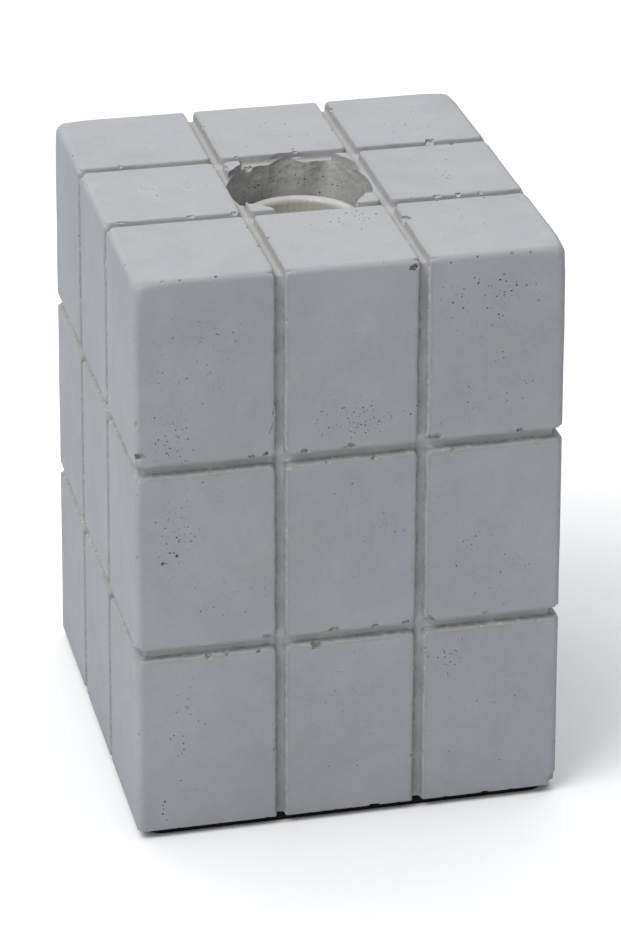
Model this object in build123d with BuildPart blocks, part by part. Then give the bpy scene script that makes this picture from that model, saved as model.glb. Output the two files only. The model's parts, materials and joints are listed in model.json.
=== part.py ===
from build123d import *
import os
from math import radians, tan

# A cast-concrete lamp base. Square grooves divide the casting into a three by three by three stack of blocks.
# A porcelain lampholder stands in a round well in its top, on a threaded tube that clamps it from below.
# Millimetres. The origin is under the middle of the base pad, +Z is up, -Y is the front, +Y the cord side.

# --- Driving dimensions -----------------------------------------------------------------------------------
# The casting, measured at its top face. It widens downwards by the draft.
body_width = 150.0
body_depth = 156.0
body_height = 210.5
draft = 0.55
edge_radius = 2.4
groove_end_radius = 1.0
foot_edge_radius = 0.8
groove_width = 4.0
groove_depth = 3.0
blocks_each_way = 3

# The foam pad glued under the casting.
pad_thickness = 3.0
pad_inset = 2.0
pad_corner_radius = 8.0

# The well for the lampholder, the bore through the middle and the pocket under the casting.
well_radius = 26.0
tube_bore_radius = 5.5
pocket_radius = 23.0
pocket_depth = 24.0

# The lampholder body, with a full round rim that stands below the casting's top face.
rim_drop = 13.9
holder_height = 56.0
holder_radius = 23.2
holder_foot_radius = 21.0
rim_wall = 4.6
mouth_depth = 11.0
shell_bore_radius = 14.6
shell_bore_depth = 22.6
septum_thickness = 8.0
terminal_room_radius = 17.5
foot_step_rise = 21.4
foot_step_slope = 4.0

# The Edison screw shell. Its wall stands for the thread's largest inside radius.
thread_radius = 13.3
shell_wall = 0.6
shell_lip_radius = 16.6
shell_base_radius = 12.0
shell_base_rise = 5.2
shell_flange_opening = 8.6
shell_cutout_height = 3.0

# The sprung centre contact and the cup that it slides in.
plunger_radius = 3.0
plunger_rise = 5.6
plunger_collar_radius = 4.12
plunger_collar_height = 3.0
plunger_tail_radius = 2.4
plunger_tail_length = 4.0
running_gap = 0.08
cup_wall = 0.6
cup_depth = 11.0
cup_floor = 0.8
cup_flange_radius = 5.6
spring_wire_radius = 0.35
spring_radius = 3.2
spring_turns = 5

# Screws, rivets and terminals. Threads are plain cylinders, so a screw keeps a small gap to its hole.
fit_gap = 0.05
bracket_screw_radius = 1.75
bracket_screw_reach = 9.5
bracket_screw_length = 12.0
bracket_screw_head_radius = 2.4
bracket_screw_head_height = 2.0
shell_screw_clearance = 3.0
rivet_radius = 1.2
rivet_reach = 10.4
rivet_head_radius = 1.6
rivet_head_height = 0.8
rivet_tail_radius = 1.9
rivet_tail_height = 0.8
rivet_well_radius = 2.6
rivet_well_depth = 4.0
strap_thickness = 0.8
terminal_length = 6.0
terminal_depth = 6.5
terminal_height = 8.0
terminal_reach = 7.0
terminal_offset = 4.0
terminal_edge_radius = 0.8
strap_overlap = 1.0
wire_hole_radius = 1.3
wire_hole_rise = 3.0
terminal_screw_radius = 1.45
terminal_screw_head_radius = 2.4
terminal_screw_head_height = 1.8
slot_width = 0.8
slot_depth = 0.9

# The steel bracket that joins the lampholder to the threaded tube.
bracket_radius = 20.0
bracket_thickness = 2.0
collar_radius = 7.0
collar_height = 8.0
leg_width = 8.0
leg_inner_reach = 12.0
foot_inner_reach = 6.4
lock_screw_radius = 1.5
lock_screw_length = 4.5
lock_screw_rise = 3.0

# The threaded tube and what clamps it.
tube_radius = 4.95
tube_inner_radius = 3.6
tube_end_height = 15.0
washer_hole_radius = 5.2
seat_washer_radius = 14.0
seat_washer_thickness = 3.0
clamp_washer_radius = 17.0
clamp_washer_thickness = 2.0
lock_washer_radius = 8.5
lock_washer_thickness = 1.0
lock_washer_split = 1.2
nut_across_flats = 17.0
nut_height = 5.0
tube_bush_bore_radius = 2.8
tube_bush_sleeve = 5.0
tube_bush_flange_radius = 5.4
tube_bush_flange = 1.5

# The bushing that the cord would enter by, at the back near the foot.
cord_height = 15.0
cord_channel_radius = 4.5
bushing_bore_radius = 3.3
bushing_radius = 6.0
bushing_gap = 0.1
bushing_length = 12.0
bushing_flange_radius = 8.0
bushing_flange = 1.5
bushing_recess = 0.5

# --- Levels, worked out from the above --------------------------------------------------------------------
top_z = pad_thickness + body_height
rim_z = top_z - rim_drop
holder_base_z = rim_z - holder_height
shell_seat_z = rim_z - mouth_depth
septum_top_z = shell_seat_z - shell_bore_depth
septum_bottom_z = septum_top_z - septum_thickness
bracket_bottom_z = holder_base_z - bracket_thickness
well_floor_z = bracket_bottom_z - seat_washer_thickness
pocket_top_z = pad_thickness + pocket_depth
clamp_washer_z = pocket_top_z - clamp_washer_thickness
lock_washer_z = clamp_washer_z - lock_washer_thickness
nut_z = lock_washer_z - nut_height
collar_top_z = bracket_bottom_z + collar_height
cup_bottom_z = septum_top_z - cup_depth
cup_bore_radius = plunger_collar_radius + running_gap
cup_radius = cup_bore_radius + cup_wall
terminal_bottom_z = septum_bottom_z - terminal_height
foot_spread = body_height * tan(radians(draft))
foot_width = body_width + 2 * foot_spread
foot_depth = body_depth + 2 * foot_spread
back_at_cord_y = body_depth / 2 + (top_z - cord_height) * tan(radians(draft))

os.makedirs("parts", exist_ok=True)


def save(piece, name):
    piece.part.label = name
    export_step(piece.part, f"parts/{name}.step")


def groove_places(length):
    """The middles of the grooves that divide a length into equal blocks, measured from its middle."""
    block = length / blocks_each_way
    return [block * i - length / 2 for i in range(1, blocks_each_way)]


# --- Concrete casting -------------------------------------------------------------------------------------
# The core is the casting less its grooves: everything further in than the groove floors.
with BuildPart() as groove_core:
    with BuildSketch(Plane.XY.offset(pad_thickness)):
        Rectangle(foot_width - 2 * groove_depth, foot_depth - 2 * groove_depth)
    extrude(amount=body_height - groove_depth, taper=draft)
    core_edges = groove_core.edges().filter_by(lambda e: e.center().Z > pad_thickness + groove_end_radius)
    fillet(core_edges, groove_end_radius)

# The grooves are slabs across the whole casting, with the core left whole.
with BuildPart() as grooves:
    groove_span = 2 * body_height
    for x in groove_places(body_width):
        with BuildSketch(Plane.XY):
            with Locations((x, 0)):
                Rectangle(groove_width, groove_span)
        extrude(amount=groove_span)
    for y in groove_places(body_depth):
        with BuildSketch(Plane.XY):
            with Locations((0, y)):
                Rectangle(groove_span, groove_width)
        extrude(amount=groove_span)
    for z in groove_places(body_height):
        groove_middle_z = pad_thickness + body_height / 2 + z
        with BuildSketch(Plane.XY.offset(groove_middle_z - groove_width / 2)):
            Rectangle(groove_span, groove_span)
        extrude(amount=groove_width)
    add(groove_core.part, mode=Mode.SUBTRACT)

with BuildPart() as concrete_body:
    with BuildSketch(Plane.XY.offset(pad_thickness)):
        Rectangle(foot_width, foot_depth)
    extrude(amount=body_height, taper=draft)
    upper_edges = concrete_body.edges().filter_by(lambda e: e.center().Z > pad_thickness + edge_radius)
    fillet(upper_edges, edge_radius)
    fillet(concrete_body.faces().sort_by(Axis.Z)[0].edges(), foot_edge_radius)
    add(grooves.part, mode=Mode.SUBTRACT)
    with BuildSketch(Plane.XY.offset(well_floor_z)):
        Circle(well_radius)
    extrude(amount=top_z - well_floor_z, mode=Mode.SUBTRACT)
    with BuildSketch(Plane.XY.offset(pad_thickness)):
        Circle(pocket_radius)
    extrude(amount=pocket_depth, mode=Mode.SUBTRACT)
    with BuildSketch(Plane.XY.offset(pad_thickness)):
        Circle(tube_bore_radius)
    extrude(amount=well_floor_z - pad_thickness, mode=Mode.SUBTRACT)
    # The cord's way in: a narrow channel, widened for the bushing's sleeve and again for its flange.
    flange_floor_y = back_at_cord_y - bushing_recess - bushing_flange
    for radius, start_y in (
        (cord_channel_radius, 0.0),
        (bushing_radius + bushing_gap, flange_floor_y - bushing_length),
        (bushing_flange_radius + bushing_gap, flange_floor_y),
    ):
        with BuildSketch(Plane.XZ.offset(-start_y)):
            with Locations((0, cord_height)):
                Circle(radius)
        extrude(amount=-(foot_depth / 2 - start_y), mode=Mode.SUBTRACT)
save(concrete_body, "concrete_body")

# --- Foam pad ---------------------------------------------------------------------------------------------
with BuildPart() as base_pad:
    with BuildSketch():
        RectangleRounded(foot_width - 2 * pad_inset, foot_depth - 2 * pad_inset, pad_corner_radius)
    extrude(amount=pad_thickness)
save(base_pad, "base_pad")

# --- Porcelain lampholder body ----------------------------------------------------------------------------
rim_radius = rim_wall / 2
mouth_radius = holder_radius - rim_wall
foot_step_z = holder_base_z + foot_step_rise
with BuildPart() as holder_body:
    with BuildSketch(Plane.XZ):
        with BuildLine():
            Polyline(
                (mouth_radius, rim_z - rim_radius),
                (mouth_radius, shell_seat_z),
                (shell_bore_radius, shell_seat_z),
                (shell_bore_radius, septum_top_z),
                (cup_radius + fit_gap, septum_top_z),
                (cup_radius + fit_gap, septum_bottom_z),
                (terminal_room_radius, septum_bottom_z),
                (terminal_room_radius, holder_base_z),
                (holder_foot_radius, holder_base_z),
                (holder_foot_radius, foot_step_z),
                (holder_radius, foot_step_z + foot_step_slope),
                (holder_radius, rim_z - rim_radius),
            )
            ThreePointArc(
                (holder_radius, rim_z - rim_radius),
                (holder_radius - rim_radius, rim_z),
                (mouth_radius, rim_z - rim_radius),
            )
        make_face()
    revolve(axis=Axis.Z)
    # Holes through the septum for the two bracket screws and the two rivets.
    with BuildSketch(Plane.XY.offset(septum_bottom_z)):
        with Locations((0, bracket_screw_reach), (0, -bracket_screw_reach)):
            Circle(bracket_screw_radius + fit_gap)
        with Locations((rivet_reach, 0), (-rivet_reach, 0)):
            Circle(rivet_radius + fit_gap)
    extrude(amount=septum_thickness, mode=Mode.SUBTRACT)
    # The shell rivet's tail is sunk, clear of the live terminal.
    with BuildSketch(Plane.XY.offset(septum_bottom_z)):
        with Locations((rivet_reach, 0)):
            Circle(rivet_well_radius)
    extrude(amount=rivet_well_depth, mode=Mode.SUBTRACT)
save(holder_body, "holder_body")

# --- Edison screw shell -----------------------------------------------------------------------------------
shell_shoulder_z = septum_top_z + shell_base_rise
shell_step = thread_radius - shell_base_radius
with BuildPart() as thread_shell:
    with BuildSketch(Plane.XZ):
        with BuildLine():
            Polyline(
                (shell_flange_opening, septum_top_z),
                (shell_base_radius + shell_wall, septum_top_z),
                (shell_base_radius + shell_wall, shell_shoulder_z - shell_wall / 2),
                (thread_radius + shell_wall, shell_shoulder_z + shell_step - shell_wall / 2),
                (thread_radius + shell_wall, shell_seat_z),
                (shell_lip_radius, shell_seat_z),
                (shell_lip_radius, shell_seat_z + shell_wall),
                (thread_radius, shell_seat_z + shell_wall),
                (thread_radius, shell_shoulder_z + shell_step),
                (shell_base_radius, shell_shoulder_z),
                (shell_base_radius, septum_top_z + shell_wall),
                (shell_flange_opening, septum_top_z + shell_wall),
                close=True,
            )
        make_face()
    revolve(axis=Axis.Z)
    # The flange is cut away round the bracket screws, and drilled for the rivets.
    with BuildSketch(Plane.XY.offset(septum_top_z)):
        with Locations((0, bracket_screw_reach), (0, -bracket_screw_reach)):
            Circle(shell_screw_clearance)
        with Locations((rivet_reach, 0), (-rivet_reach, 0)):
            Circle(rivet_radius + fit_gap)
    extrude(amount=shell_cutout_height, mode=Mode.SUBTRACT)
save(thread_shell, "thread_shell")


# --- Rivets -----------------------------------------------------------------------------------------------
def rivet(x, tail_top_z):
    """A rivet with its head on the shell's flange and its tail under tail_top_z."""
    head_z = septum_top_z + shell_wall
    with BuildPart() as piece:
        with BuildSketch(Plane.XY.offset(tail_top_z - rivet_tail_height)):
            with Locations((x, 0)):
                Circle(rivet_tail_radius)
        extrude(amount=rivet_tail_height)
        with BuildSketch(Plane.XY.offset(tail_top_z)):
            with Locations((x, 0)):
                Circle(rivet_radius)
        extrude(amount=head_z - tail_top_z)
        with BuildSketch(Plane.XY.offset(head_z)):
            with Locations((x, 0)):
                Circle(rivet_head_radius)
        extrude(amount=rivet_head_height)
        fillet(piece.edges().group_by(Axis.Z)[-1], rivet_head_height / 2)
    return piece


save(rivet(rivet_reach, septum_bottom_z + rivet_well_depth), "shell_rivet")
save(rivet(-rivet_reach, septum_bottom_z - strap_thickness), "neutral_rivet")

# --- Contact cup ------------------------------------------------------------------------------------------
with BuildPart() as contact_cup:
    with BuildSketch(Plane.XZ):
        with BuildLine():
            Polyline(
                (0, cup_bottom_z),
                (cup_radius, cup_bottom_z),
                (cup_radius, septum_top_z),
                (cup_flange_radius, septum_top_z),
                (cup_flange_radius, septum_top_z + cup_wall),
                (plunger_radius + running_gap, septum_top_z + cup_wall),
                (plunger_radius + running_gap, septum_top_z),
                (cup_bore_radius, septum_top_z),
                (cup_bore_radius, cup_bottom_z + cup_floor),
                (0, cup_bottom_z + cup_floor),
                close=True,
            )
        make_face()
    revolve(axis=Axis.Z)
save(contact_cup, "contact_cup")

# --- Centre contact plunger -------------------------------------------------------------------------------
# Its collar stops under the cup's rolled mouth, and the spring pushes up on the collar.
collar_under_z = septum_top_z - plunger_collar_height
collar_upper_z = septum_top_z - running_gap
with BuildPart() as centre_plunger:
    with BuildSketch(Plane.XY.offset(collar_under_z - plunger_tail_length)):
        Circle(plunger_tail_radius)
    extrude(amount=plunger_tail_length)
    with BuildSketch(Plane.XY.offset(collar_under_z)):
        Circle(plunger_collar_radius)
    extrude(amount=collar_upper_z - collar_under_z)
    with BuildSketch(Plane.XY.offset(collar_upper_z)):
        Circle(plunger_radius)
    extrude(amount=septum_top_z + plunger_rise - collar_upper_z)
    fillet(centre_plunger.edges().group_by(Axis.Z)[-1], plunger_radius / 2)
save(centre_plunger, "centre_plunger")

# --- Plunger spring ---------------------------------------------------------------------------------------
spring_floor_z = cup_bottom_z + cup_floor + spring_wire_radius + fit_gap
spring_rise = collar_under_z - spring_wire_radius - fit_gap - spring_floor_z
with BuildPart() as plunger_spring:
    with BuildLine() as coil:
        Helix(
            pitch=spring_rise / spring_turns,
            height=spring_rise,
            radius=spring_radius,
            center=(0, 0, spring_floor_z),
        )
    with BuildSketch(Plane(origin=coil.line @ 0, z_dir=coil.line % 0)):
        Circle(spring_wire_radius)
    sweep()
save(plunger_spring, "plunger_spring")


# --- Terminals --------------------------------------------------------------------------------------------
def terminal(side, strap_top_z, strap_x, strap_y):
    """A brass block under the septum, with a strap to its contact. side is +1 for live, -1 for neutral."""
    block_x = side * (terminal_reach + terminal_length / 2)
    block_y = -side * (terminal_offset + terminal_depth / 2)
    with BuildPart() as piece:
        with BuildSketch(Plane.XY.offset(terminal_bottom_z)):
            with Locations((block_x, block_y)):
                Rectangle(terminal_length, terminal_depth)
        extrude(amount=terminal_height)
        fillet(piece.edges().filter_by(Axis.Z), terminal_edge_radius)
        with BuildSketch(Plane.XY.offset(strap_top_z - strap_thickness)):
            with Locations(((strap_x[0] + strap_x[1]) / 2, (strap_y[0] + strap_y[1]) / 2)):
                Rectangle(strap_x[1] - strap_x[0], strap_y[1] - strap_y[0])
        extrude(amount=strap_thickness)
        with BuildSketch(Plane.YZ):
            with Locations((block_y, terminal_bottom_z + wire_hole_rise)):
                Circle(wire_hole_radius)
        extrude(amount=side * (terminal_reach + terminal_length), mode=Mode.SUBTRACT)
        with BuildSketch(Plane.XY.offset(terminal_bottom_z)):
            with Locations((block_x, block_y)):
                Circle(terminal_screw_radius + fit_gap)
        extrude(amount=wire_hole_rise, mode=Mode.SUBTRACT)
        if side < 0:
            with BuildSketch(Plane.XY.offset(strap_top_z - strap_thickness)):
                with Locations((-rivet_reach, 0)):
                    Circle(rivet_radius + fit_gap)
            extrude(amount=strap_thickness, mode=Mode.SUBTRACT)
    return piece


def terminal_screw(side):
    """A slotted screw, up into a terminal block from below, as far as the wire hole."""
    screw_x = side * (terminal_reach + terminal_length / 2)
    screw_y = -side * (terminal_offset + terminal_depth / 2)
    head_z = terminal_bottom_z - terminal_screw_head_height
    with BuildPart() as piece:
        with BuildSketch(Plane.XY.offset(head_z)):
            with Locations((screw_x, screw_y)):
                Circle(terminal_screw_head_radius)
        extrude(amount=terminal_screw_head_height)
        with BuildSketch(Plane.XY.offset(terminal_bottom_z)):
            with Locations((screw_x, screw_y)):
                Circle(terminal_screw_radius)
        extrude(amount=wire_hole_rise - wire_hole_radius)
        with BuildSketch(Plane.XY.offset(head_z)):
            with Locations((screw_x, screw_y)):
                Rectangle(2 * terminal_screw_head_radius, slot_width)
        extrude(amount=slot_depth, mode=Mode.SUBTRACT)
    return piece


live_strap_x = (-plunger_radius, terminal_reach + terminal_length / 2)
live_strap_y = (-terminal_offset - strap_overlap, plunger_radius)
save(terminal(1, cup_bottom_z, live_strap_x, live_strap_y), "live_terminal")
neutral_strap_x = (-terminal_reach - terminal_length, -terminal_reach)
neutral_strap_y = (-plunger_radius, terminal_offset + strap_overlap)
save(terminal(-1, septum_bottom_z, neutral_strap_x, neutral_strap_y), "neutral_terminal")
save(terminal_screw(1), "live_screw")
save(terminal_screw(-1), "neutral_screw")

# --- Steel bracket ----------------------------------------------------------------------------------------
foot_middle = (foot_inner_reach + leg_inner_reach + bracket_thickness) / 2
foot_length = leg_inner_reach + bracket_thickness - foot_inner_reach
lock_screw_z = bracket_bottom_z + bracket_thickness + lock_screw_rise
with BuildPart() as holder_bracket:
    with BuildSketch(Plane.XY.offset(bracket_bottom_z)):
        Circle(bracket_radius)
    extrude(amount=bracket_thickness)
    with BuildSketch(Plane.XY.offset(bracket_bottom_z)):
        Circle(collar_radius)
    extrude(amount=collar_top_z - bracket_bottom_z)
    for turn in (1, -1):
        with BuildSketch(Plane.XY.offset(holder_base_z)):
            with Locations((0, turn * (leg_inner_reach + bracket_thickness / 2))):
                Rectangle(leg_width, bracket_thickness)
        extrude(amount=septum_bottom_z - holder_base_z)
        with BuildSketch(Plane.XY.offset(septum_bottom_z - bracket_thickness)):
            with Locations((0, turn * foot_middle)):
                Rectangle(leg_width, foot_length)
            with Locations((0, turn * bracket_screw_reach)):
                Circle(bracket_screw_radius + fit_gap, mode=Mode.SUBTRACT)
        extrude(amount=bracket_thickness)
    with BuildSketch(Plane.XY.offset(bracket_bottom_z)):
        Circle(tube_radius + fit_gap)
    extrude(amount=collar_top_z - bracket_bottom_z, mode=Mode.SUBTRACT)
    with BuildSketch(Plane.YZ):
        with Locations((0, lock_screw_z)):
            Circle(lock_screw_radius + fit_gap)
    extrude(amount=collar_radius, mode=Mode.SUBTRACT)
save(holder_bracket, "holder_bracket")

# Two screws, seen in the bottom of the lampholder, run down into the bracket's tapped feet.
with BuildPart() as bracket_screws:
    with BuildSketch(Plane.XY.offset(septum_top_z - bracket_screw_length)):
        with Locations((0, bracket_screw_reach), (0, -bracket_screw_reach)):
            Circle(bracket_screw_radius)
    extrude(amount=bracket_screw_length)
    with BuildSketch(Plane.XY.offset(septum_top_z)):
        with Locations((0, bracket_screw_reach), (0, -bracket_screw_reach)):
            Circle(bracket_screw_head_radius)
    extrude(amount=bracket_screw_head_height)
    with BuildSketch(Plane.XY.offset(septum_top_z + bracket_screw_head_height - slot_depth)):
        with Locations((0, bracket_screw_reach), (0, -bracket_screw_reach)):
            Rectangle(2 * bracket_screw_head_radius, slot_width)
    extrude(amount=slot_depth, mode=Mode.SUBTRACT)
save(bracket_screws, "bracket_screws")

with BuildPart() as tube_lock_screw:
    with BuildSketch(Plane.YZ.offset(tube_radius)):
        with Locations((0, lock_screw_z)):
            Circle(lock_screw_radius)
    extrude(amount=lock_screw_length)
    with BuildSketch(Plane.YZ.offset(tube_radius + lock_screw_length)):
        with Locations((0, lock_screw_z)):
            Rectangle(2 * lock_screw_radius, slot_width)
    extrude(amount=-slot_depth, mode=Mode.SUBTRACT)
save(tube_lock_screw, "tube_lock_screw")

# --- Threaded tube ----------------------------------------------------------------------------------------
with BuildPart() as threaded_tube:
    with BuildSketch(Plane.XY.offset(tube_end_height)):
        Circle(tube_radius)
        Circle(tube_inner_radius, mode=Mode.SUBTRACT)
    extrude(amount=collar_top_z - tube_end_height)
save(threaded_tube, "threaded_tube")


def washer(radius, base_z, thickness):
    """A flat ring on the threaded tube."""
    with BuildPart() as piece:
        with BuildSketch(Plane.XY.offset(base_z)):
            Circle(radius)
            Circle(washer_hole_radius, mode=Mode.SUBTRACT)
        extrude(amount=thickness)
    return piece


save(washer(seat_washer_radius, well_floor_z, seat_washer_thickness), "seat_washer")
save(washer(clamp_washer_radius, clamp_washer_z, clamp_washer_thickness), "clamp_washer")

with BuildPart() as lock_washer:
    with BuildSketch(Plane.XY.offset(lock_washer_z)):
        Circle(lock_washer_radius)
        Circle(washer_hole_radius, mode=Mode.SUBTRACT)
        with Locations((lock_washer_radius, 0)):
            Rectangle(2 * lock_washer_radius, lock_washer_split, mode=Mode.SUBTRACT)
    extrude(amount=lock_washer_thickness)
save(lock_washer, "lock_washer")

with BuildPart() as clamp_nut:
    with BuildSketch(Plane.XY.offset(nut_z)):
        RegularPolygon(nut_across_flats / 2, 6, major_radius=False)
        Circle(tube_radius + fit_gap, mode=Mode.SUBTRACT)
    extrude(amount=nut_height)
save(clamp_nut, "clamp_nut")

# A plastic bush keeps the wires off the tube's cut end.
with BuildPart() as tube_bush:
    with BuildSketch(Plane.XY.offset(tube_end_height - tube_bush_flange)):
        Circle(tube_bush_flange_radius)
    extrude(amount=tube_bush_flange)
    with BuildSketch(Plane.XY.offset(tube_end_height)):
        Circle(tube_inner_radius - fit_gap)
    extrude(amount=tube_bush_sleeve)
    with BuildSketch(Plane.XY.offset(tube_end_height - tube_bush_flange)):
        Circle(tube_bush_bore_radius)
    extrude(amount=tube_bush_flange + tube_bush_sleeve, mode=Mode.SUBTRACT)
save(tube_bush, "tube_bush")

# --- Cord bushing -----------------------------------------------------------------------------------------
# A black plastic bushing in the back, its flange just below the concrete's face.
with BuildPart() as cord_bushing:
    with BuildSketch(Plane.XZ.offset(bushing_length - flange_floor_y)):
        with Locations((0, cord_height)):
            Circle(bushing_radius)
    extrude(amount=-bushing_length)
    with BuildSketch(Plane.XZ.offset(-flange_floor_y)):
        with Locations((0, cord_height)):
            Circle(bushing_flange_radius)
    extrude(amount=-bushing_flange)
    with BuildSketch(Plane.XZ.offset(bushing_length - flange_floor_y)):
        with Locations((0, cord_height)):
            Circle(bushing_bore_radius)
    extrude(amount=-(bushing_length + bushing_flange), mode=Mode.SUBTRACT)
save(cord_bushing, "cord_bushing")
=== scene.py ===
# %% [markdown]
# # A cast-concrete lamp base
# The lamp base is one grey casting. Square grooves divide its faces into a stack of blocks, three each way.
# A well in its top holds a porcelain lampholder, and a foam pad is glued under its foot. The CAD model is
# loaded first and stays fixed: it gives every place and size. The looks are then made around it.

# %% Load the fixed frame
import json
import math
import random

import bmesh
import bpy
from mathutils import Matrix, Quaternion, Vector, noise


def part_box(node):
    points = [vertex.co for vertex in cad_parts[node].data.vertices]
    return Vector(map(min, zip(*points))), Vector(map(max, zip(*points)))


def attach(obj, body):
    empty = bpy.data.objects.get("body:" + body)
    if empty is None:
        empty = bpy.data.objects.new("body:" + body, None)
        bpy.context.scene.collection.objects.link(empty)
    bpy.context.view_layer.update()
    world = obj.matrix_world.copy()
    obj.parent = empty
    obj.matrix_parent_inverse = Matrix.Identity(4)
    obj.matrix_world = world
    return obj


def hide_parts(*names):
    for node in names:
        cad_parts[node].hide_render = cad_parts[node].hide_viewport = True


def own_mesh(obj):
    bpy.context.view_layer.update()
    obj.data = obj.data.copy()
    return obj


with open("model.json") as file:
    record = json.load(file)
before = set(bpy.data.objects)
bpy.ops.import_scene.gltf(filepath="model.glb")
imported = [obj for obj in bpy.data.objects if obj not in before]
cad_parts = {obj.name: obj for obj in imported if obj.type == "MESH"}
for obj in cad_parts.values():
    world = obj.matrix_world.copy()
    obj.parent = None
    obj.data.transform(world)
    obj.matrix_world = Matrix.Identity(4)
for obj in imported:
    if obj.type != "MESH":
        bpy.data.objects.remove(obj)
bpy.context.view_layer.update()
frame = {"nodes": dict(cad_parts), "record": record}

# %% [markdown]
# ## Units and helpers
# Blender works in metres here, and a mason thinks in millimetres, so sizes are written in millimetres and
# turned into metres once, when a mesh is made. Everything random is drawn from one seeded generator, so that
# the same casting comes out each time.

MM = 0.001
chance = random.Random(20)
scene = bpy.context.scene


def make_mesh(name, points_mm, faces, finish=None):
    """A closed mesh object from points in millimetres, with every face turned to look outwards."""
    mesh = bpy.data.meshes.new(name)
    mesh.from_pydata([(x * MM, y * MM, z * MM) for x, y, z in points_mm], [], faces)
    mesh.validate()
    shell = bmesh.new()
    shell.from_mesh(mesh)
    bmesh.ops.recalc_face_normals(shell, faces=shell.faces)
    shell.to_mesh(mesh)
    shell.free()
    if finish:
        mesh.materials.append(finish)
    piece = bpy.data.objects.new(name, mesh)
    scene.collection.objects.link(piece)
    return piece


def box_mm(node):
    low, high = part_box(node)
    return low / MM, high / MM


# %% [markdown]
# ## Main sizes
# The outer sizes come from the frame. The few that a box can't give, such as the draft and the grooves, are
# the casting's own driving dimensions, repeated here.

# %% Sizes of the casting
foot_low, casting_high = box_mm("concrete_body")
draft = math.tan(math.radians(0.55))
groove_width, groove_depth = 4.0, 3.0
level_wider = 0.22        # the level grooves' lips stand this much further out
edge_radius, groove_end_radius, foot_radius = 2.4, 1.0, 0.8
well_radius = 26.0
foot_z, top_z = foot_low.z, casting_high.z
height = top_z - foot_z
half_width = casting_high.x - draft * height
half_depth = casting_high.y - draft * height
groove_x, groove_y = half_width / 3, half_depth / 3
groove_z = [foot_z + height / 3, foot_z + 2 * height / 3]
print("casting, mm at its top:", [round(v, 1) for v in (2 * half_width, 2 * half_depth, height)])

# %% [markdown]
# ## Finishes
# Every finish is worked out from the place on the piece in millimetres, so that grain and pores have their
# real size and travel with the piece when it moves. Effects that several finishes share are node groups, made
# once here: the mottling of a mineral paste, pinholes, the film in the grooves, dust, and the marks on
# metal. Each finish then places the groups with its own values and feeds one shader.

# %% A node tree being drawn up
class Nodes:
    """Draws up one node tree. Each method adds nodes and gives back an output, or all of the node's outputs.
    place is where the shaded point lies, in millimetres."""

    def __init__(self, tree, place=None):
        self.tree, self.place = tree, place

    def join(self, value, socket):
        """Links an output to a socket, or sets the socket's own value."""
        if isinstance(value, bpy.types.NodeSocket):
            self.tree.links.new(value, socket)
        else:
            socket.default_value = value

    def add(self, kind, sockets=None, **settings):
        made = self.tree.nodes.new("ShaderNode" + kind)
        for name, value in settings.items():
            setattr(made, name, value)
        for name, value in (sockets or {}).items():
            self.join(value, made.inputs[name])
        return made.outputs

    def maths(self, operation, first, *others):
        """Works from the left, two values at a time. With one value alone, works on that."""
        if not others:
            return self.add("Math", {0: first}, operation=operation)[0]
        for other in others:
            first = self.add("Math", {0: first, 1: other}, operation=operation)[0]
        return first

    def plus(self, *values):
        return self.maths("ADD", *values)

    def minus(self, first, second):
        return self.maths("SUBTRACT", first, second)

    def times(self, *values):
        return self.maths("MULTIPLY", *values)

    def vector(self, operation, first, second):
        return self.add("VectorMath", {0: first, 1: second}, operation=operation)[0]

    def scaled(self, vector, factor):
        return self.add("VectorMath", {0: vector, "Scale": factor}, operation="SCALE")[0]

    def in_steps(self, size):
        """The place counted in steps of this many millimetres."""
        return self.scaled(self.place, self.maths("DIVIDE", 1.0, size))

    def turn_on(self, value, low, high, at_low=0.0, at_high=1.0):
        """Goes smoothly from at_low to at_high while value goes from low to high."""
        sockets = {"Value": value, "From Min": low, "From Max": high, "To Min": at_low, "To Max": at_high}
        return self.add("MapRange", sockets, interpolation_type="SMOOTHSTEP")["Result"]

    def blend(self, share, base, over, how="MIX"):
        return self.add("Mix", {0: share, 6: base, 7: over}, data_type="RGBA", blend_type=how)[2]

    def cloud(self, size, detail=2.0, shift=0.0, place=None):
        """Noise whose patches are about size millimetres across, from 0 to 1 with 0.5 as its middle."""
        moved = self.vector("ADD", place or self.place, (shift, shift, shift))
        return self.add("TexNoise", {"Vector": moved, "Scale": 1 / size, "Detail": detail})["Fac"]

    def swing(self, *cloud):
        """The same noise with 0 as its middle."""
        return self.minus(self.cloud(*cloud), 0.5)

    def cells(self, density):
        """Cells with a random colour each. Distance is how far the cell's own middle lies."""
        return self.add("TexVoronoi", {"Vector": self.place, "Scale": density}, feature="F1")

    def looks_up(self):
        return self.add("SeparateXYZ", {0: self.add("NewGeometry")["Normal"]})[2]

    def use(self, group, **sockets):
        """Places a group. An underscore in a socket's name stands for a space."""
        named = {name.replace("_", " "): value for name, value in sockets.items()}
        return self.add("Group", {"Place": self.place, **named}, node_tree=group)


def open_group(name, **takes):
    """An empty node group, with the inputs that it takes and their first values."""
    tree = bpy.data.node_groups.new(name, "ShaderNodeTree")
    tree.interface.new_socket("Place", in_out="INPUT", socket_type="NodeSocketVector")
    for title, value in takes.items():
        kind = "NodeSocketColor" if isinstance(value, tuple) else "NodeSocketFloat"
        socket = tree.interface.new_socket(title.replace("_", " "), in_out="INPUT", socket_type=kind)
        socket.default_value = value
    given = tree.nodes.new("NodeGroupInput").outputs
    return Nodes(tree, given["Place"]), given


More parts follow.
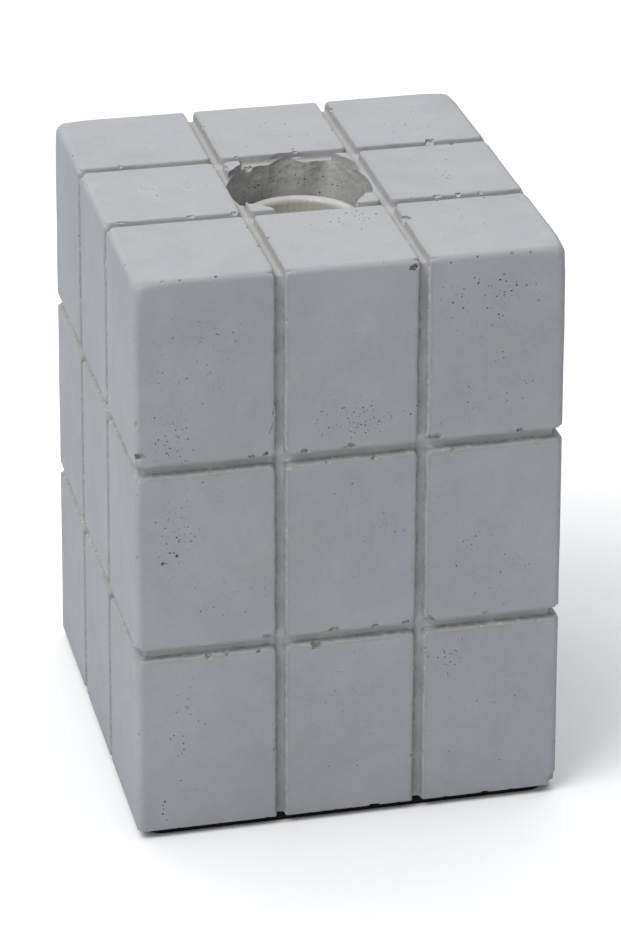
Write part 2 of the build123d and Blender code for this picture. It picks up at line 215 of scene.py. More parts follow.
def close_group(nodes, **gives):
    """Gives the group its outputs: a colour for Colour, and values for the others."""
    for title in gives:
        kind = "NodeSocketColor" if title == "Colour" else "NodeSocketFloat"
        nodes.tree.interface.new_socket(title, in_out="OUTPUT", socket_type=kind)
    result = nodes.tree.nodes.new("NodeGroupOutput").inputs
    for title, value in gives.items():
        nodes.tree.links.new(value, result[title])
    return nodes.tree


# %% Group: mineral paste
def make_paste():
    """Mottling and grit of cement, clay or glaze. Height is in millimetres."""
    group, given = open_group("mineral_paste", Base=(0.5, 0.5, 0.5, 1), Mottle=1.0, Grit=1.0, Grain_Size=0.7)
    slow, middle, small = group.swing(46), group.swing(11, 3.0, 37.0), group.swing(2.6, 2.0, 71.0)
    fine = group.swing(1.0, 2.0, 11.0, group.in_steps(given["Grain Size"]))
    mottling = group.plus(group.times(slow, 0.16), group.times(middle, 0.13), group.times(small, 0.07))
    speckle = group.times(fine, 0.16, given["Grit"])
    brightness = group.plus(group.times(mottling, given["Mottle"]), speckle, 1.0)
    warmth = group.times(group.turn_on(group.cloud(23, 2.0, 90.0), 0.45, 0.75), 0.35, given["Mottle"])
    shade = group.scaled(given["Base"], brightness)
    warmer = group.blend(warmth, shade, (1.0, 0.985, 0.95, 1), "MULTIPLY")
    relief = group.times(group.plus(group.times(small, 0.05), group.times(fine, 0.05)), given["Grit"])
    return close_group(group, Colour=warmer, Height=relief)


mineral_paste = make_paste()


# %% Group: pinholes
def make_pinholes():
    """Pinholes too fine to cut as meshes. Spacing is the size of the cell that each stands in, in mm."""
    group, given = open_group("pinholes", Spacing=2.4, Hole_Size=0.09, Patch_Size=26.0, Amount=0.5)
    spots = group.cells(group.maths("DIVIDE", 1.0, given["Spacing"]))
    near = group.turn_on(spots["Distance"], 0.0, given["Hole Size"], 1.0, 0.0)
    patch = group.turn_on(group.cloud(1.0, 1.0, 5.0, group.in_steps(given["Patch Size"])), 0.42, 0.62)
    drawn = group.add("SeparateColor", {0: spots["Color"]})[0]
    kept = group.maths("LESS_THAN", drawn, group.times(patch, given["Amount"]))
    mask = group.times(near, kept)
    return close_group(group, Mask=mask, Depth=group.times(mask, -0.2))


pinholes = make_pinholes()


# %% Group: film along the grooves
def make_groove_film():
    """Masks that follow the casting's grooves: the floor, where dust and lime stay and light is painted,
    the upright grooves among them, the corner on the left of those, where shade is painted, and the lips."""
    group, given = open_group("groove_film", Groove_X=25.0, Groove_Y=26.0, Low_Z=70.0, High_Z=140.0,
                              Half_Width=2.0, Well_Radius=26.0)
    wavy = group.add("TexNoise", {"Vector": group.place, "Scale": 0.45, "Detail": 1.0})["Color"]
    centred = group.vector("SUBTRACT", wavy, (0.5, 0.5, 0.5))
    waves = {0: centred, 1: (1.6, 1.6, 1.6), 2: group.place}
    shifted = group.add("VectorMath", waves, operation="MULTIPLY_ADD")[0]
    x, y, z = group.add("SeparateXYZ", {0: shifted})
    size_x = group.maths("ABSOLUTE", x)
    off_x = group.maths("ABSOLUTE", group.minus(size_x, given["Groove X"]))
    off_y = group.maths("ABSOLUTE", group.minus(group.maths("ABSOLUTE", y), given["Groove Y"]))
    off_z = group.maths("MINIMUM", *(group.maths("ABSOLUTE", group.minus(z, given[name]))
                                     for name in ("Low Z", "High Z")))
    off_sides = group.maths("MINIMUM", off_x, off_y)
    in_widths = group.maths("DIVIDE", group.maths("MINIMUM", off_sides, off_z), given["Half Width"])
    flat = group.add("CombineXYZ", {0: x, 1: y, 2: 0.0})[0]
    reach = group.add("VectorMath", {0: flat}, operation="LENGTH")["Value"]
    outside = group.turn_on(group.minus(reach, given["Well Radius"]), 0.3, 1.3)
    sided = group.times(group.minus(size_x, given["Groove X"]), group.maths("SIGN", x))

    def band(value, rise, full, fade, gone):
        """1 between full and fade, 0 before rise and after gone, and nothing over the well."""
        faded = group.turn_on(value, fade, gone, 1.0, 0.0)
        return group.times(group.turn_on(value, rise, full), faded, outside)

    return close_group(
        group,
        Floor=group.times(group.turn_on(in_widths, 0.6, 1.05, 1.0, 0.0), outside),
        Upright=group.maths("LESS_THAN", off_sides, off_z),
        # Painted shade: a band on the left side of each groove at Groove X, where the lip shades the floor.
        Corner=band(sided, -2.2, -1.9, -1.4, 0.3),
        Lip=band(in_widths, 0.75, 1.1, 1.25, 1.75),
    )


groove_film = make_groove_film()


# %% Group: dust
def make_dust():
    """Fine dust that settles where a surface looks up, in uneven patches."""
    group, given = open_group("settled_dust", Amount=0.5, Patch_Size=5.0)
    level = group.turn_on(group.looks_up(), 0.1, 0.95)
    patches = group.cloud(1.0, 3.0, 3.0, group.in_steps(given["Patch Size"]))
    mask = group.times(level, group.turn_on(patches, 0.3, 0.7, 0.35, 1.0), given["Amount"])
    return close_group(group, Mask=mask)


settled_dust = make_dust()


# %% Group: marks on metal
def make_marks():
    """Patches and freckles of tarnish, and tool lines round the Z axis. Height is in millimetres."""
    group, given = open_group("worn_metal", Bright=(0.8, 0.8, 0.8, 1), Dull=(0.4, 0.4, 0.4, 1), Tarnish=0.5,
                              Smooth=0.25, Rough=0.55, Lines=1.0)
    patch = group.turn_on(group.cloud(3.5, 4.0, 13.0), 0.35, 0.7)
    freckle = group.turn_on(group.cloud(0.6, 2.0, 29.0), 0.6, 0.75)
    dulled = group.times(group.maths("MAXIMUM", patch, freckle), given["Tarnish"])
    lines = group.swing(1.0, 3.0, 2.0, group.vector("MULTIPLY", group.place, (0.15, 0.15, 6.0)))
    wear = group.plus(dulled, group.times(lines, 0.25))
    return close_group(
        group,
        Colour=group.blend(dulled, given["Bright"], given["Dull"]),
        Roughness=group.turn_on(wear, 0.0, 1.0, given["Smooth"], given["Rough"]),
        Height=group.plus(group.times(lines, given["Lines"], 0.03), group.times(freckle, -0.01)),
    )


worn_metal = make_marks()
print("node groups:", [group.name for group in bpy.data.node_groups])


# %% Start and end of a finish
class Finish(Nodes):
    """A new material with one shader. The constants go straight onto the shader's sockets."""

    def __init__(self, name, **constants):
        self.material = bpy.data.materials.new(name)
        self.material.use_nodes = True
        super().__init__(self.material.node_tree)
        self.shader = self.tree.nodes["Principled BSDF"].inputs
        for socket, value in constants.items():
            self.shader[socket.replace("_", " ")].default_value = value
        self.place = self.scaled(self.add("TexCoord")["Object"], 1 / MM)

    def dusted(self, colour, dust_colour, amount, patch_size):
        """The colour under dust, and the dust's mask."""
        mask = self.use(settled_dust, Amount=amount, Patch_Size=patch_size)["Mask"]
        return self.blend(mask, colour, dust_colour), mask

    def feed(self, colour, roughness, height, strength=1.0):
        """Feeds the shader, with the height in millimetres through a bump. Gives back the material."""
        self.join(colour, self.shader["Base Color"])
        self.join(roughness, self.shader["Roughness"])
        relief = self.add("Bump", {"Height": height, "Distance": MM, "Strength": strength})
        self.join(relief["Normal"], self.shader["Normal"])
        return self.material


# %% [markdown]
# ### Concrete, cast and broken
# The cast face shows cement paste: smooth, matt and cool grey, a little cloudy, with pinholes, which are
# painted dark for dirt and for the shade inside them. The grooves keep a grey film of lime and dust. It is
# painted paler in the upright grooves and on the level grooves' lower walls, as painted light, and darker in
# their left corners, as painted shade. The lips are rubbed sandy and painted a little darker than the face,
# as painted shade that damps their highlight. The wall of the well is rougher and warmer. Where a crumb has
# broken off, the inside is sandy and paler. The inside of an air pore is the same paste, but dark with dirt
# and with painted shade.

# %% Concrete finishes
paste_grey = (0.334, 0.347, 0.368, 1)
well_grey = (0.388, 0.393, 0.385, 1)
hole_grey = (0.13, 0.133, 0.134, 1)
lime_beige = (0.345, 0.336, 0.310, 1)
# Groove film colours. The paler level-wall and upright-groove greys are painted light: lit copies of the film
# where the grooves lie in shade.
level_floor_grey, level_wall_painted_light_grey = (0.435, 0.443, 0.446, 1), (0.66, 0.656, 0.635, 1)
upright_groove_painted_light_grey = (0.480, 0.492, 0.502, 1)
# Painted shade: the dark grey goes into the grooves' left corners. The sandy beige on the lips is also a
# little darker than the face, as painted shade.
painted_shade_grey, rubbed_sand_and_shade = (0.17, 0.172, 0.168, 1), (0.295, 0.288, 0.268, 1)


def make_concrete():
    finish = Finish("cast_concrete", Specular_IOR_Level=0.25)
    paste = finish.use(mineral_paste, Base=paste_grey, Mottle=1.25, Grit=1.2, Grain_Size=0.6)
    holes = finish.use(pinholes, Spacing=2.3, Hole_Size=0.11, Patch_Size=24.0, Amount=0.6)
    film = finish.use(groove_film, Groove_X=groove_x, Groove_Y=groove_y, Low_Z=groove_z[0],
                      High_Z=groove_z[1], Half_Width=groove_width / 2, Well_Radius=well_radius)
    # Faces that look up take beige lime in the upright grooves. On the level grooves' lower walls, which the
    # upper lips shade, they take a much paler grey as painted light.
    # The upright grooves' other faces are painted paler than the level grooves' floors, also as painted
    # light.
    bare = finish.blend(film["Upright"], level_floor_grey, upright_groove_painted_light_grey)
    upper = finish.blend(film["Upright"], level_wall_painted_light_grey, lime_beige)
    lime_and_painted_light = finish.blend(finish.turn_on(finish.looks_up(), -0.05, 0.4), bare, upper)
    layers = [
        # (mask, patch size in mm, shift, where patches start and end, least and most share, colour)
        ("Floor", 8, 55.0, 0.3, 0.7, 0.45, 0.95, lime_and_painted_light),
        # Painted shade: the darkest grey goes into the grooves' left corners.
        ("Corner", 3.0, 61.0, 0.35, 0.65, 0.25, 0.7, painted_shade_grey),
        # The lips' sandy beige is also darker than the face: painted shade that damps the lips' highlight.
        ("Lip", 5.0, 27.0, 0.3, 0.7, 0.25, 0.75, rubbed_sand_and_shade),
    ]
    colour = paste["Colour"]
    for mask, size, shift, low, high, least, most, over in layers:
        patchy = finish.turn_on(finish.cloud(size, 3.0, shift), low, high, least, most)
        colour = finish.blend(finish.times(film[mask], patchy), colour, over)
    colour, _ = finish.dusted(colour, (0.372, 0.374, 0.364, 1), 0.42, 14.0)
    # Pinholes painted dark: dirt, and painted shade for the inside of each hole.
    colour = finish.blend(finish.times(holes["Mask"], 0.7), colour, hole_grey)
    return finish.feed(colour, 0.92, finish.plus(paste["Height"], holes["Depth"]), 0.8)


def make_well_concrete():
    finish = Finish("well_concrete", Specular_IOR_Level=0.2)
    paste = finish.use(mineral_paste, Base=well_grey, Mottle=1.9, Grit=1.8, Grain_Size=0.8)
    holes = finish.use(pinholes, Spacing=1.7, Hole_Size=0.11, Patch_Size=9.0, Amount=0.7)
    drawn_out = finish.vector("MULTIPLY", finish.place, (1.3, 1.3, 0.12))
    runs = finish.turn_on(finish.cloud(1.0, 3.0, 19.0, drawn_out), 0.45, 0.75, 0.0, 0.25)
    colour = finish.blend(runs, paste["Colour"], (0.30, 0.295, 0.275, 1))
    # Pinholes painted dark: dirt, and painted shade for the inside of each hole.
    colour = finish.blend(finish.times(holes["Mask"], 0.6), colour, (0.13, 0.13, 0.125, 1))
    return finish.feed(colour, 0.95, finish.plus(paste["Height"], holes["Depth"]))


def make_broken_concrete():
    finish = Finish("broken_concrete", Specular_IOR_Level=0.25)
    paste = finish.use(mineral_paste, Base=(0.405, 0.410, 0.407, 1), Mottle=1.4, Grit=2.2, Grain_Size=0.5)
    grains = finish.cells(1.4)
    sand = finish.turn_on(finish.add("SeparateColor", {0: grains["Color"]})[0], 0.55, 0.95, 0.0, 0.35)
    colour = finish.blend(sand, paste["Colour"], (0.31, 0.295, 0.265, 1))
    bumps = finish.times(finish.turn_on(grains["Distance"], 0.0, 0.6, 1.0, 0.0), 0.08)
    return finish.feed(colour, 0.96, finish.plus(paste["Height"], bumps))


def make_pore_concrete():
    finish = Finish("pore_concrete", Specular_IOR_Level=0.2)
    # Darker than the face: dirt, and painted shade for the inside of a pore or crack.
    paste = finish.use(mineral_paste, Base=(0.27, 0.27, 0.265, 1), Mottle=2.0, Grit=1.0, Grain_Size=0.3)
    return finish.feed(paste["Colour"], 0.96, paste["Height"], 0.6)


cast_concrete, well_concrete = make_concrete(), make_well_concrete()
broken_concrete, pore_concrete = make_broken_concrete(), make_pore_concrete()


# %% [markdown]
# ### Porcelain, foam, rubber and plastic
# The holder is fired clay under a thin cream glaze. The glaze is dull with dust where it looks up. The pad is
# closed-cell foam: nearly black, with cells of half a millimetre. The rubber washer and plastic bushes are
# moulded, with a fine even grain.

# %% Porcelain
def make_porcelain():
    finish = Finish("glazed_porcelain", Specular_IOR_Level=0.5, Coat_Weight=0.25, Coat_Roughness=0.25,
                    IOR=1.5)
    glaze = finish.use(mineral_paste, Base=(0.44, 0.437, 0.402, 1), Mottle=0.6, Grit=0.2, Grain_Size=0.8)
    specks = finish.use(pinholes, Spacing=3.1, Hole_Size=0.06, Patch_Size=9.0, Amount=0.35)
    colour, dust = finish.dusted(glaze["Colour"], (0.38, 0.377, 0.355, 1), 0.55, 4.0)
    colour = finish.blend(finish.times(specks["Mask"], 0.5), colour, (0.30, 0.27, 0.22, 1))
    relief = finish.plus(glaze["Height"], finish.times(specks["Depth"], 0.2))
    return finish.feed(colour, finish.turn_on(dust, 0.0, 0.5, 0.3, 0.62), relief, 0.35)


# %% Foam, rubber and plastic
def make_foam():
    finish = Finish("foam_pad_black", Specular_IOR_Level=0.3)
    soft = finish.use(mineral_paste, Base=(0.006, 0.006, 0.0065, 1), Mottle=2.0, Grit=1.5, Grain_Size=0.4)
    colour, _ = finish.dusted(soft["Colour"], (0.07, 0.07, 0.068, 1), 0.1, 6.0)
    walls = finish.turn_on(finish.cells(2.0)["Distance"], 0.0, 0.55, -0.12, 0.0)
    return finish.feed(colour, 0.95, finish.plus(soft["Height"], walls))


def make_moulded(name, colour, roughness, grain, speckle):
    """Moulded rubber or plastic with an even grain."""
    finish = Finish(name, Specular_IOR_Level=0.45)
    skin = finish.use(mineral_paste, Base=colour, Mottle=1.6, Grit=speckle, Grain_Size=grain)
    colour, _ = finish.dusted(skin["Colour"], (0.16, 0.16, 0.155, 1), 0.2, 3.0)
    rubbed = finish.turn_on(finish.cloud(4.0, 3.0, 8.0), 0.3, 0.7, roughness - 0.1, roughness + 0.1)
    return finish.feed(colour, rubbed, skin["Height"], 0.5)


# %% [markdown]
# ### Metals
# The screw shell is nickel-plated brass, the contacts are bare brass, and the bracket, tube, washers and
# screws are zinc-plated steel. All share one group for tarnish and tool lines. Only the two colours, the
# roughness and the strength of the lines differ.

# %% Metal finishes
def make_metal(name, bright, dull, tarnish, smooth, rough, lines):
    finish = Finish(name, Metallic=1.0)
    marks = finish.use(worn_metal, Bright=bright, Dull=dull, Tarnish=tarnish, Smooth=smooth, Rough=rough,
                       Lines=lines)
    colour, _ = finish.dusted(marks["Colour"], (0.42, 0.41, 0.39, 1), 0.15, 2.5)
    return finish.feed(colour, marks["Roughness"], marks["Height"], 0.6)


finishes = {"concrete": cast_concrete, "porcelain": make_porcelain(), "foam_pad": make_foam()}
for name, *values in (
    # (name, colour, roughness, grain, speckle)
    ("black_rubber", (0.022, 0.022, 0.023, 1), 0.72, 0.5, 1.2),
    ("black_plastic", (0.026, 0.026, 0.028, 1), 0.45, 0.3, 0.7),
):
    finishes[name] = make_moulded(name, *values)
for name, *values in (
    # (name, bright colour, dull colour, tarnish, smooth, rough, lines)
    ("plated_brass", (0.66, 0.63, 0.55, 1), (0.44, 0.38, 0.27, 1), 0.5, 0.24, 0.55, 0.4),
    ("brass", (0.82, 0.60, 0.27, 1), (0.42, 0.27, 0.11, 1), 0.55, 0.22, 0.55, 1.0),
    ("zinc_steel", (0.62, 0.63, 0.66, 1), (0.42, 0.42, 0.40, 1), 0.5, 0.28, 0.6, 0.8),
    ("spring_steel", (0.36, 0.36, 0.37, 1), (0.16, 0.13, 0.11, 1), 0.6, 0.3, 0.6, 0.6),
):
    finishes[name] = make_metal(name, *values)
for part in frame["record"]["subparts"]:
    node = frame["nodes"].get(part.get("node") or part["name"])
    for slot in node.material_slots:
        slot.material = finishes[part["material_slot"]]
print("finishes:", sorted(finishes))

# %% [markdown]
# ## The casting's skin
# A concrete casting copies its mould: flat faces, a slight draft, rounded outer edges, and grooves left by
# strips in the mould. Their lips are never razor sharp, because the paste doesn't fill a sharp corner. A
# bevel on a boolean would give the roundings, but it breaks down where grooves cross rounded edges. So the
# skin is laid out on a lattice instead. Its lines stand close together at the lips and edges, where the
# shape turns, and far apart on the flats. Each point is then pushed in by the depth of the groove there.

# %% Profile of a groove
# The strip in the mould tapers, so that it draws out: a rounded floor, sloping walls, rounded lips.
half_groove = [
    # (distance from the groove's middle, depth)
    (0.0, 3.0), (0.7, 2.99), (1.15, 2.86), (1.40, 2.50), (1.54, 1.90), (1.65, 1.25), (1.77, 0.70),
    (1.92, 0.33), (2.12, 0.11), (2.4, 0.0),
]
groove_reach = half_groove[-1][0]


def between(steps, place):
    """Reads a list of (place, value), straight between its steps."""
    for (near, here), (far, there) in zip(steps, steps[1:]):
        if place <= far:
            return here + (there - here) * (place - near) / (far - near)
    return steps[-1][1]


# %% Lattice lines along one axis
flat_step = 5.5        # spacing on the flats
beside_lip, beside_edge = (0.4, 0.95, 1.7, 2.8), (0.8, 1.8, 3.2)
edge_turns = [math.radians(45 * i / 4) for i in range(5)]
foot_turns = [math.radians(30 * i) for i in range(4)]


def lattice(low, high, grooves, rounded_low, rounded_high, wider=0.0):
    """Places of the lattice lines from low to high, close together at grooves and at rounded ends."""
    lines = [low, high]
    for middle in grooves:
        for away in [away for away, _ in half_groove] + [groove_reach + extra for extra in beside_lip]:
            away += wider if away > 1 else 0
            lines += [middle - away, middle + away]
    for end, rounded, sign in ((low, rounded_low, 1), (high, rounded_high, -1)):
        if rounded:
            lines += [end + sign * edge_radius * (1 - math.tan(turn)) for turn in edge_turns]
            lines += [end + sign * (edge_radius + extra) for extra in beside_edge]
        else:
            lines += [end + sign * foot_radius * (1 - math.cos(turn)) for turn in foot_turns]
    lines = sorted(set(round(v, 4) for v in lines))
    filled = []
    for a, b in zip(lines, lines[1:]):
        parts = max(1, round((b - a) / flat_step))
        filled += [a + (b - a) * i / parts for i in range(parts)]
    return filled + [lines[-1]]


lines_x = lattice(-half_width, half_width, [-groove_x, groove_x], True, True)
lines_y = lattice(-half_depth, half_depth, [-groove_y, groove_y], True, True)
lines_z = lattice(foot_z, top_z, groove_z, False, True, level_wider)
print("lattice lines:", len(lines_x), len(lines_y), len(lines_z))

# %% Smooth turns and noise
def ease(value, low, high):
    """0 below low, 1 above high, and a smooth turn between."""
    share = min(1.0, max(0.0, (value - low) / (high - low)))
    return share * share * (3 - 2 * share)


def ripple(place, wave, seed):
    """Smooth noise from -1 to 1 with bumps of about this size, in millimetres."""
    return noise.noise(Vector(place) / wave + Vector((seed * 7.3, seed * 3.1, seed * 5.7)))


wander_from, wander_to = 0.3, 7.0        # from a groove's middle


def wander(value, grooves, place, seed):
    """Lets the groove's lips run out of true and crumble a little, as the paste does at a mould's strip."""
    moved = value
    for index, middle in enumerate(grooves):
        away = value - middle
        if wander_from < abs(away) < wander_to:
            lip = seed + index * 2 + (1 if away > 0 else 2)
            fade = ease(abs(away), wander_from, 1.3) * (1 - ease(abs(away), 2.8, wander_to))
            slow, quick = ripple(place, 10.0, lip), ripple(place, 3.0, lip + 9)
            crumble = max(0.0, ripple(place, 5.0, lip + 17) - 0.3)
            moved += fade * (0.20 * slow + 0.16 * quick + math.copysign(0.9 * crumble, away))
    return moved


# %% Depth of the skin below the plain box
crossing_radius = 1.7
end_flare_radius, end_flare = 4.2, 0.42


def from_outside(x, y, z):
    """Distances to the outer faces, the nearest first."""
    return sorted((half_width - abs(x), half_depth - abs(y), top_z - z))


def rounded_corner(first, second, radius):
    """Distance to a corner between two lips, rounded off. first and second are the distances to the lips."""
    if first < radius and second < radius:
        return radius - math.hypot(radius - first, radius - second)
    return min(first, second)


def beyond(first, second, radius):
    """How far a point near a square corner lies outside the same corner rounded to this radius."""
    return max(0.0, math.hypot(max(0.0, radius - first), max(0.0, radius - second)) - radius)


def sunk_by(x, y, z):
    """How deep the skin lies below the plain box: grooves, and the rounding where blocks end."""
    to_lip = [min(abs(v - m) for m in middles) - groove_width / 2 for v, middles in
              ((x, (-groove_x, groove_x)), (y, (-groove_y, groove_y)), (z, groove_z))]
    to_lip[2] -= level_wider
    radius = crossing_radius * (1 + 0.35 * ripple((x, y, z), 17, 4))
    from_lip = min(rounded_corner(to_lip[a], to_lip[b], radius) for a, b in ((0, 1), (0, 2), (1, 2)))
    groove = between(half_groove, from_lip + groove_width / 2)
    from_edge = from_outside(x, y, z)[1]
    flare = end_flare * beyond(max(0.0, from_lip), from_edge, end_flare_radius) * ease(from_lip, -0.7, -0.1)
    return min(groove_depth, groove + flare)


# %% Shape one lattice point
squeeze = 8.0        # the band that gives way when an outer edge is pushed in
draft_from, draft_full = 16, 6        # how far in from an outer face the draft starts and is whole
corner_extra, corner_reach = 1.7, 13.0
unevenness, bite = 0.05, 0.7        # of the flats, and of the outer edges


def rounding_at(x, y, z):
    """Radius of the outer edge here: never quite even, and larger towards the corners."""
    rounder = corner_extra * (1 - ease(from_outside(x, y, z)[2], 1.0, corner_reach))
    return edge_radius * (1 + 0.22 * ripple((x, y, z), 21, 6)) + rounder


def pull_in(value, half, rounding, sunk, radius):
    """Where a lattice place lies on the flat of the box sunk by this much. Only the last few mm move."""
    old_end, new_end = half - rounding, half - sunk - radius
    start = old_end - squeeze
    size = min(abs(value), old_end)
    if size > start:
        size = start + (size - start) * (new_end - start) / squeeze
    return math.copysign(size, value)


def casting_point(x, y, z):
    rounding = rounding_at(x, y, z)
    flat = Vector((
        min(max(x, rounding - half_width), half_width - rounding),
        min(max(y, rounding - half_depth), half_depth - rounding),
        min(z, top_z - rounding),
    ))
    outward = (Vector((x, y, z)) - flat).normalized()
    deepest = sunk_by(x, y, z)
    radius = rounding + (groove_end_radius - rounding) * deepest / groove_depth
    inner = Vector((
        pull_in(x, half_width, rounding, deepest, radius),
        pull_in(y, half_depth, rounding, deepest, radius),
        foot_z + pull_in(z - foot_z, height, rounding, deepest, radius),
    ))
    skin = inner + outward * radius
    # The draft widens the sides towards the foot, and leaves the grooves upright.
    wider = draft * (top_z - skin.z)
    skin.x += math.copysign(wider * ease(abs(x), half_width - draft_from, half_width - draft_full), x)
    skin.y += math.copysign(wider * ease(abs(y), half_depth - draft_from, half_depth - draft_full), y)
    # The foot's small rounding.
    rise = z - foot_z
    if rise < foot_radius:
        tuck = foot_radius - math.sqrt(max(0.0, foot_radius ** 2 - (foot_radius - rise) ** 2))
        skin -= Vector((outward.x, outward.y, 0)) * tuck
    # The cast face is slightly uneven, its outer edges more so, and the groove floors are rough.
    slant = 1 - max(abs(outward.x), abs(outward.y), abs(outward.z))
    uneven = unevenness + unevenness * ripple(skin, 38, 1) + bite * slant * max(0.0, ripple(skin, 9, 2))
    if deepest > groove_depth / 2:
        uneven += 0.12 - 0.16 * ripple(skin, 4.5, 3)
    skin -= outward * uneven
    skin.x = wander(skin.x, (-groove_x, groove_x), (0, skin.y, skin.z), 10)
    skin.y = wander(skin.y, (-groove_y, groove_y), (skin.x, 0, skin.z), 40)
    skin.z = wander(skin.z, groove_z, (skin.x, skin.y, 0), 70)
    return skin


# %% Build the skin
def build_skin():
    wide, deep, tall = len(lines_x) - 1, len(lines_y) - 1, len(lines_z) - 1
    points, number, faces = [], {}, []

    def point(i, j, k):
        if (i, j, k) not in number:
            number[i, j, k] = len(points)
            points.append(casting_point(lines_x[i], lines_y[j], lines_z[k]))
        return number[i, j, k]

    for i in range(wide):
        for j in range(deep):
            faces.append([point(m, n, tall) for m, n in ((i, j), (i + 1, j), (i + 1, j + 1), (i, j + 1))])
    ring = [(i, 0) for i in range(wide)] + [(wide, j) for j in range(deep)]
    ring += [(i, deep) for i in range(wide, 0, -1)] + [(0, j) for j in range(deep, 0, -1)]
    for (i, j), (m, n) in zip(ring, ring[1:] + ring[:1]):
        for k in range(tall):
            faces.append([point(i, j, k), point(m, n, k), point(m, n, k + 1), point(i, j, k + 1)])
    # The underside lies on the pad, so its outline is filled flat.
    for i, j in ring:
        points[number[i, j, 0]].z = foot_z
    faces.append([number[i, j, 0] for i, j in reversed(ring)])
    return make_mesh("concrete_casting", points, faces, cast_concrete)


casting = build_skin()
print("skin:", len(casting.data.vertices), "points,", len(casting.data.polygons), "faces")

# %% [markdown]
# ## Cutting into the casting
# The well, the bore for the tube, the pocket under the foot and the cord's hole are all formed by cores in
# the mould. Each is a closed cutter, taken away with a boolean. The exact solver would be slow on a skin
# this fine, so the manifold one is used, which only needs each mesh to be closed.

# %% A boolean cut and a lathe
def cut(piece, cutter, inside=cast_concrete):
    """Takes the closed cutter away from the closed piece. The cut faces show the inside's finish."""
    cutter.data.materials.append(inside)
    step = piece.modifiers.new("cut", "BOOLEAN")
    step.operation = "DIFFERENCE"
    step.solver = "MANIFOLD"
    step.material_mode = "TRANSFER"
    step.object = cutter
    graph = bpy.context.evaluated_depsgraph_get()
    mesh = bpy.data.meshes.new_from_object(piece.evaluated_get(graph))
    piece.modifiers.remove(step)
    old = piece.data
    piece.data = mesh
    bpy.data.meshes.remove(old)
    bpy.data.objects.remove(cutter)


def lathe(name, profile, segments, wobble=None, closed=False, finish=None):
    """Turns a profile of (radius, z) about the Z axis. wobble(angle, radius, z) gives each point's radius.
    An open profile is capped where it ends; a closed one makes a ring."""
    points, faces = [], []
    rows = len(profile)
    for step in range(segments):
        turn = 2 * math.pi * step / segments
        for radius, z in profile:
            reach = wobble(turn, radius, z) if wobble else radius
            points.append((reach * math.cos(turn), reach * math.sin(turn), z))
        here, there = step * rows, (step + 1) % segments * rows
        for row in range(rows if closed else rows - 1):
            above = (row + 1) % rows
            faces.append([here + row, there + row, there + above, here + above])
    if not closed:
        faces.append([step * rows for step in reversed(range(segments))])
        faces.append([step * rows + rows - 1 for step in range(segments)])
    return make_mesh(name, points, faces, finish)


def rod(name, radius, start, end, segments):
    """A plain round cutter from start to end, in millimetres."""
    axis = Vector(end) - Vector(start)
    piece = lathe(name, [(radius, 0.0), (radius, axis.length)], segments)
    turned = axis.to_track_quat("Z", "Y").to_matrix().to_4x4()
    piece.data.transform(Matrix.Translation(Vector(start) * MM) @ turned)
    return piece


# %% [markdown]
# ## The well and the hidden hollows
# The well for the lampholder is cast round, a hair out of true. Below it run the bore for the tube, the
# pocket for the nut and the cord's hole, each with its own cutter. The well reaches into the four grooves
# round the middle block. The corners of that block that were left are thin, and their tips have snapped off,
# with pieces of the back groove's floor. So the mouth is listed, once for each of the two levels.

# %% The well's broken mouth
ledge_mouth = [
    # (angle from the X axis in degrees, reach from the middle) at the level of the groove floors
    (-12, 25.3), (9, 25.6), (25, 26.7), (34, 26.9), (44, 27.7), (52, 29.2), (57, 29.6), (61, 28.6),
    (66, 26.6), (70, 25.8), (75, 25.9), (80, 27.2), (85, 28.1), (92, 28.2), (98, 27.6), (103, 26.4),
    (110, 26.0), (117, 26.5), (124, 26.9), (130, 26.7), (141, 26.7), (155, 26.4), (165, 26.5), (180, 26.0),
    (191, 25.7), (205, 26.2), (216, 27.2), (223, 26.3), (233, 27.2), (245, 26.2), (270, 26.1), (290, 26.2),
    (298, 27.0), (310, 26.1), (321, 25.3), (326, 26.6), (335, 25.9), (348, 25.3),
]
block_mouth = [
    # the same at the level of the top face, through what is left of the middle block
    (-12, 25.3), (9, 25.8), (25, 26.7), (34, 27.0), (44, 27.8), (52, 29.4), (58, 30.3), (66, 28.6),
    (90, 28.2), (112, 28.0), (120, 29.4), (127, 29.0), (130, 26.8), (141, 26.7), (150, 27.3), (165, 26.5),
    (191, 25.9), (205, 27.6), (216, 27.4), (223, 26.3), (234, 27.2), (239, 28.4), (243, 28.6), (256, 27.2),
    (270, 26.4), (290, 27.2), (298, 28.0), (310, 26.2), (321, 25.2), (325, 28.0), (332, 27.3), (348, 25.3),
]
break_height = 13.0        # the break fades out over this height below the groove floors


def well_wobble(turn, radius, z):
    place = Vector((well_radius * math.cos(turn), well_radius * math.sin(turn), z))
    degrees = (math.degrees(turn) + 12) % 360 - 12
    below_floor = top_z - groove_depth - z
    ledge = between(ledge_mouth, degrees) + 0.35 * ripple(place, 3.2, 61) + 0.2 * ripple(place, 1.3, 62)
    block = between(block_mouth, degrees) + 0.35 * ripple(place, 2.6, 63)
    mouth = block + (ledge - block) * ease(below_floor, -0.9, -0.2)
    broken = min(1.0, max(0.0, 1 - below_floor / break_height))
    return radius + 0.2 * ripple(place, 8, 60) + broken * (mouth - well_radius)


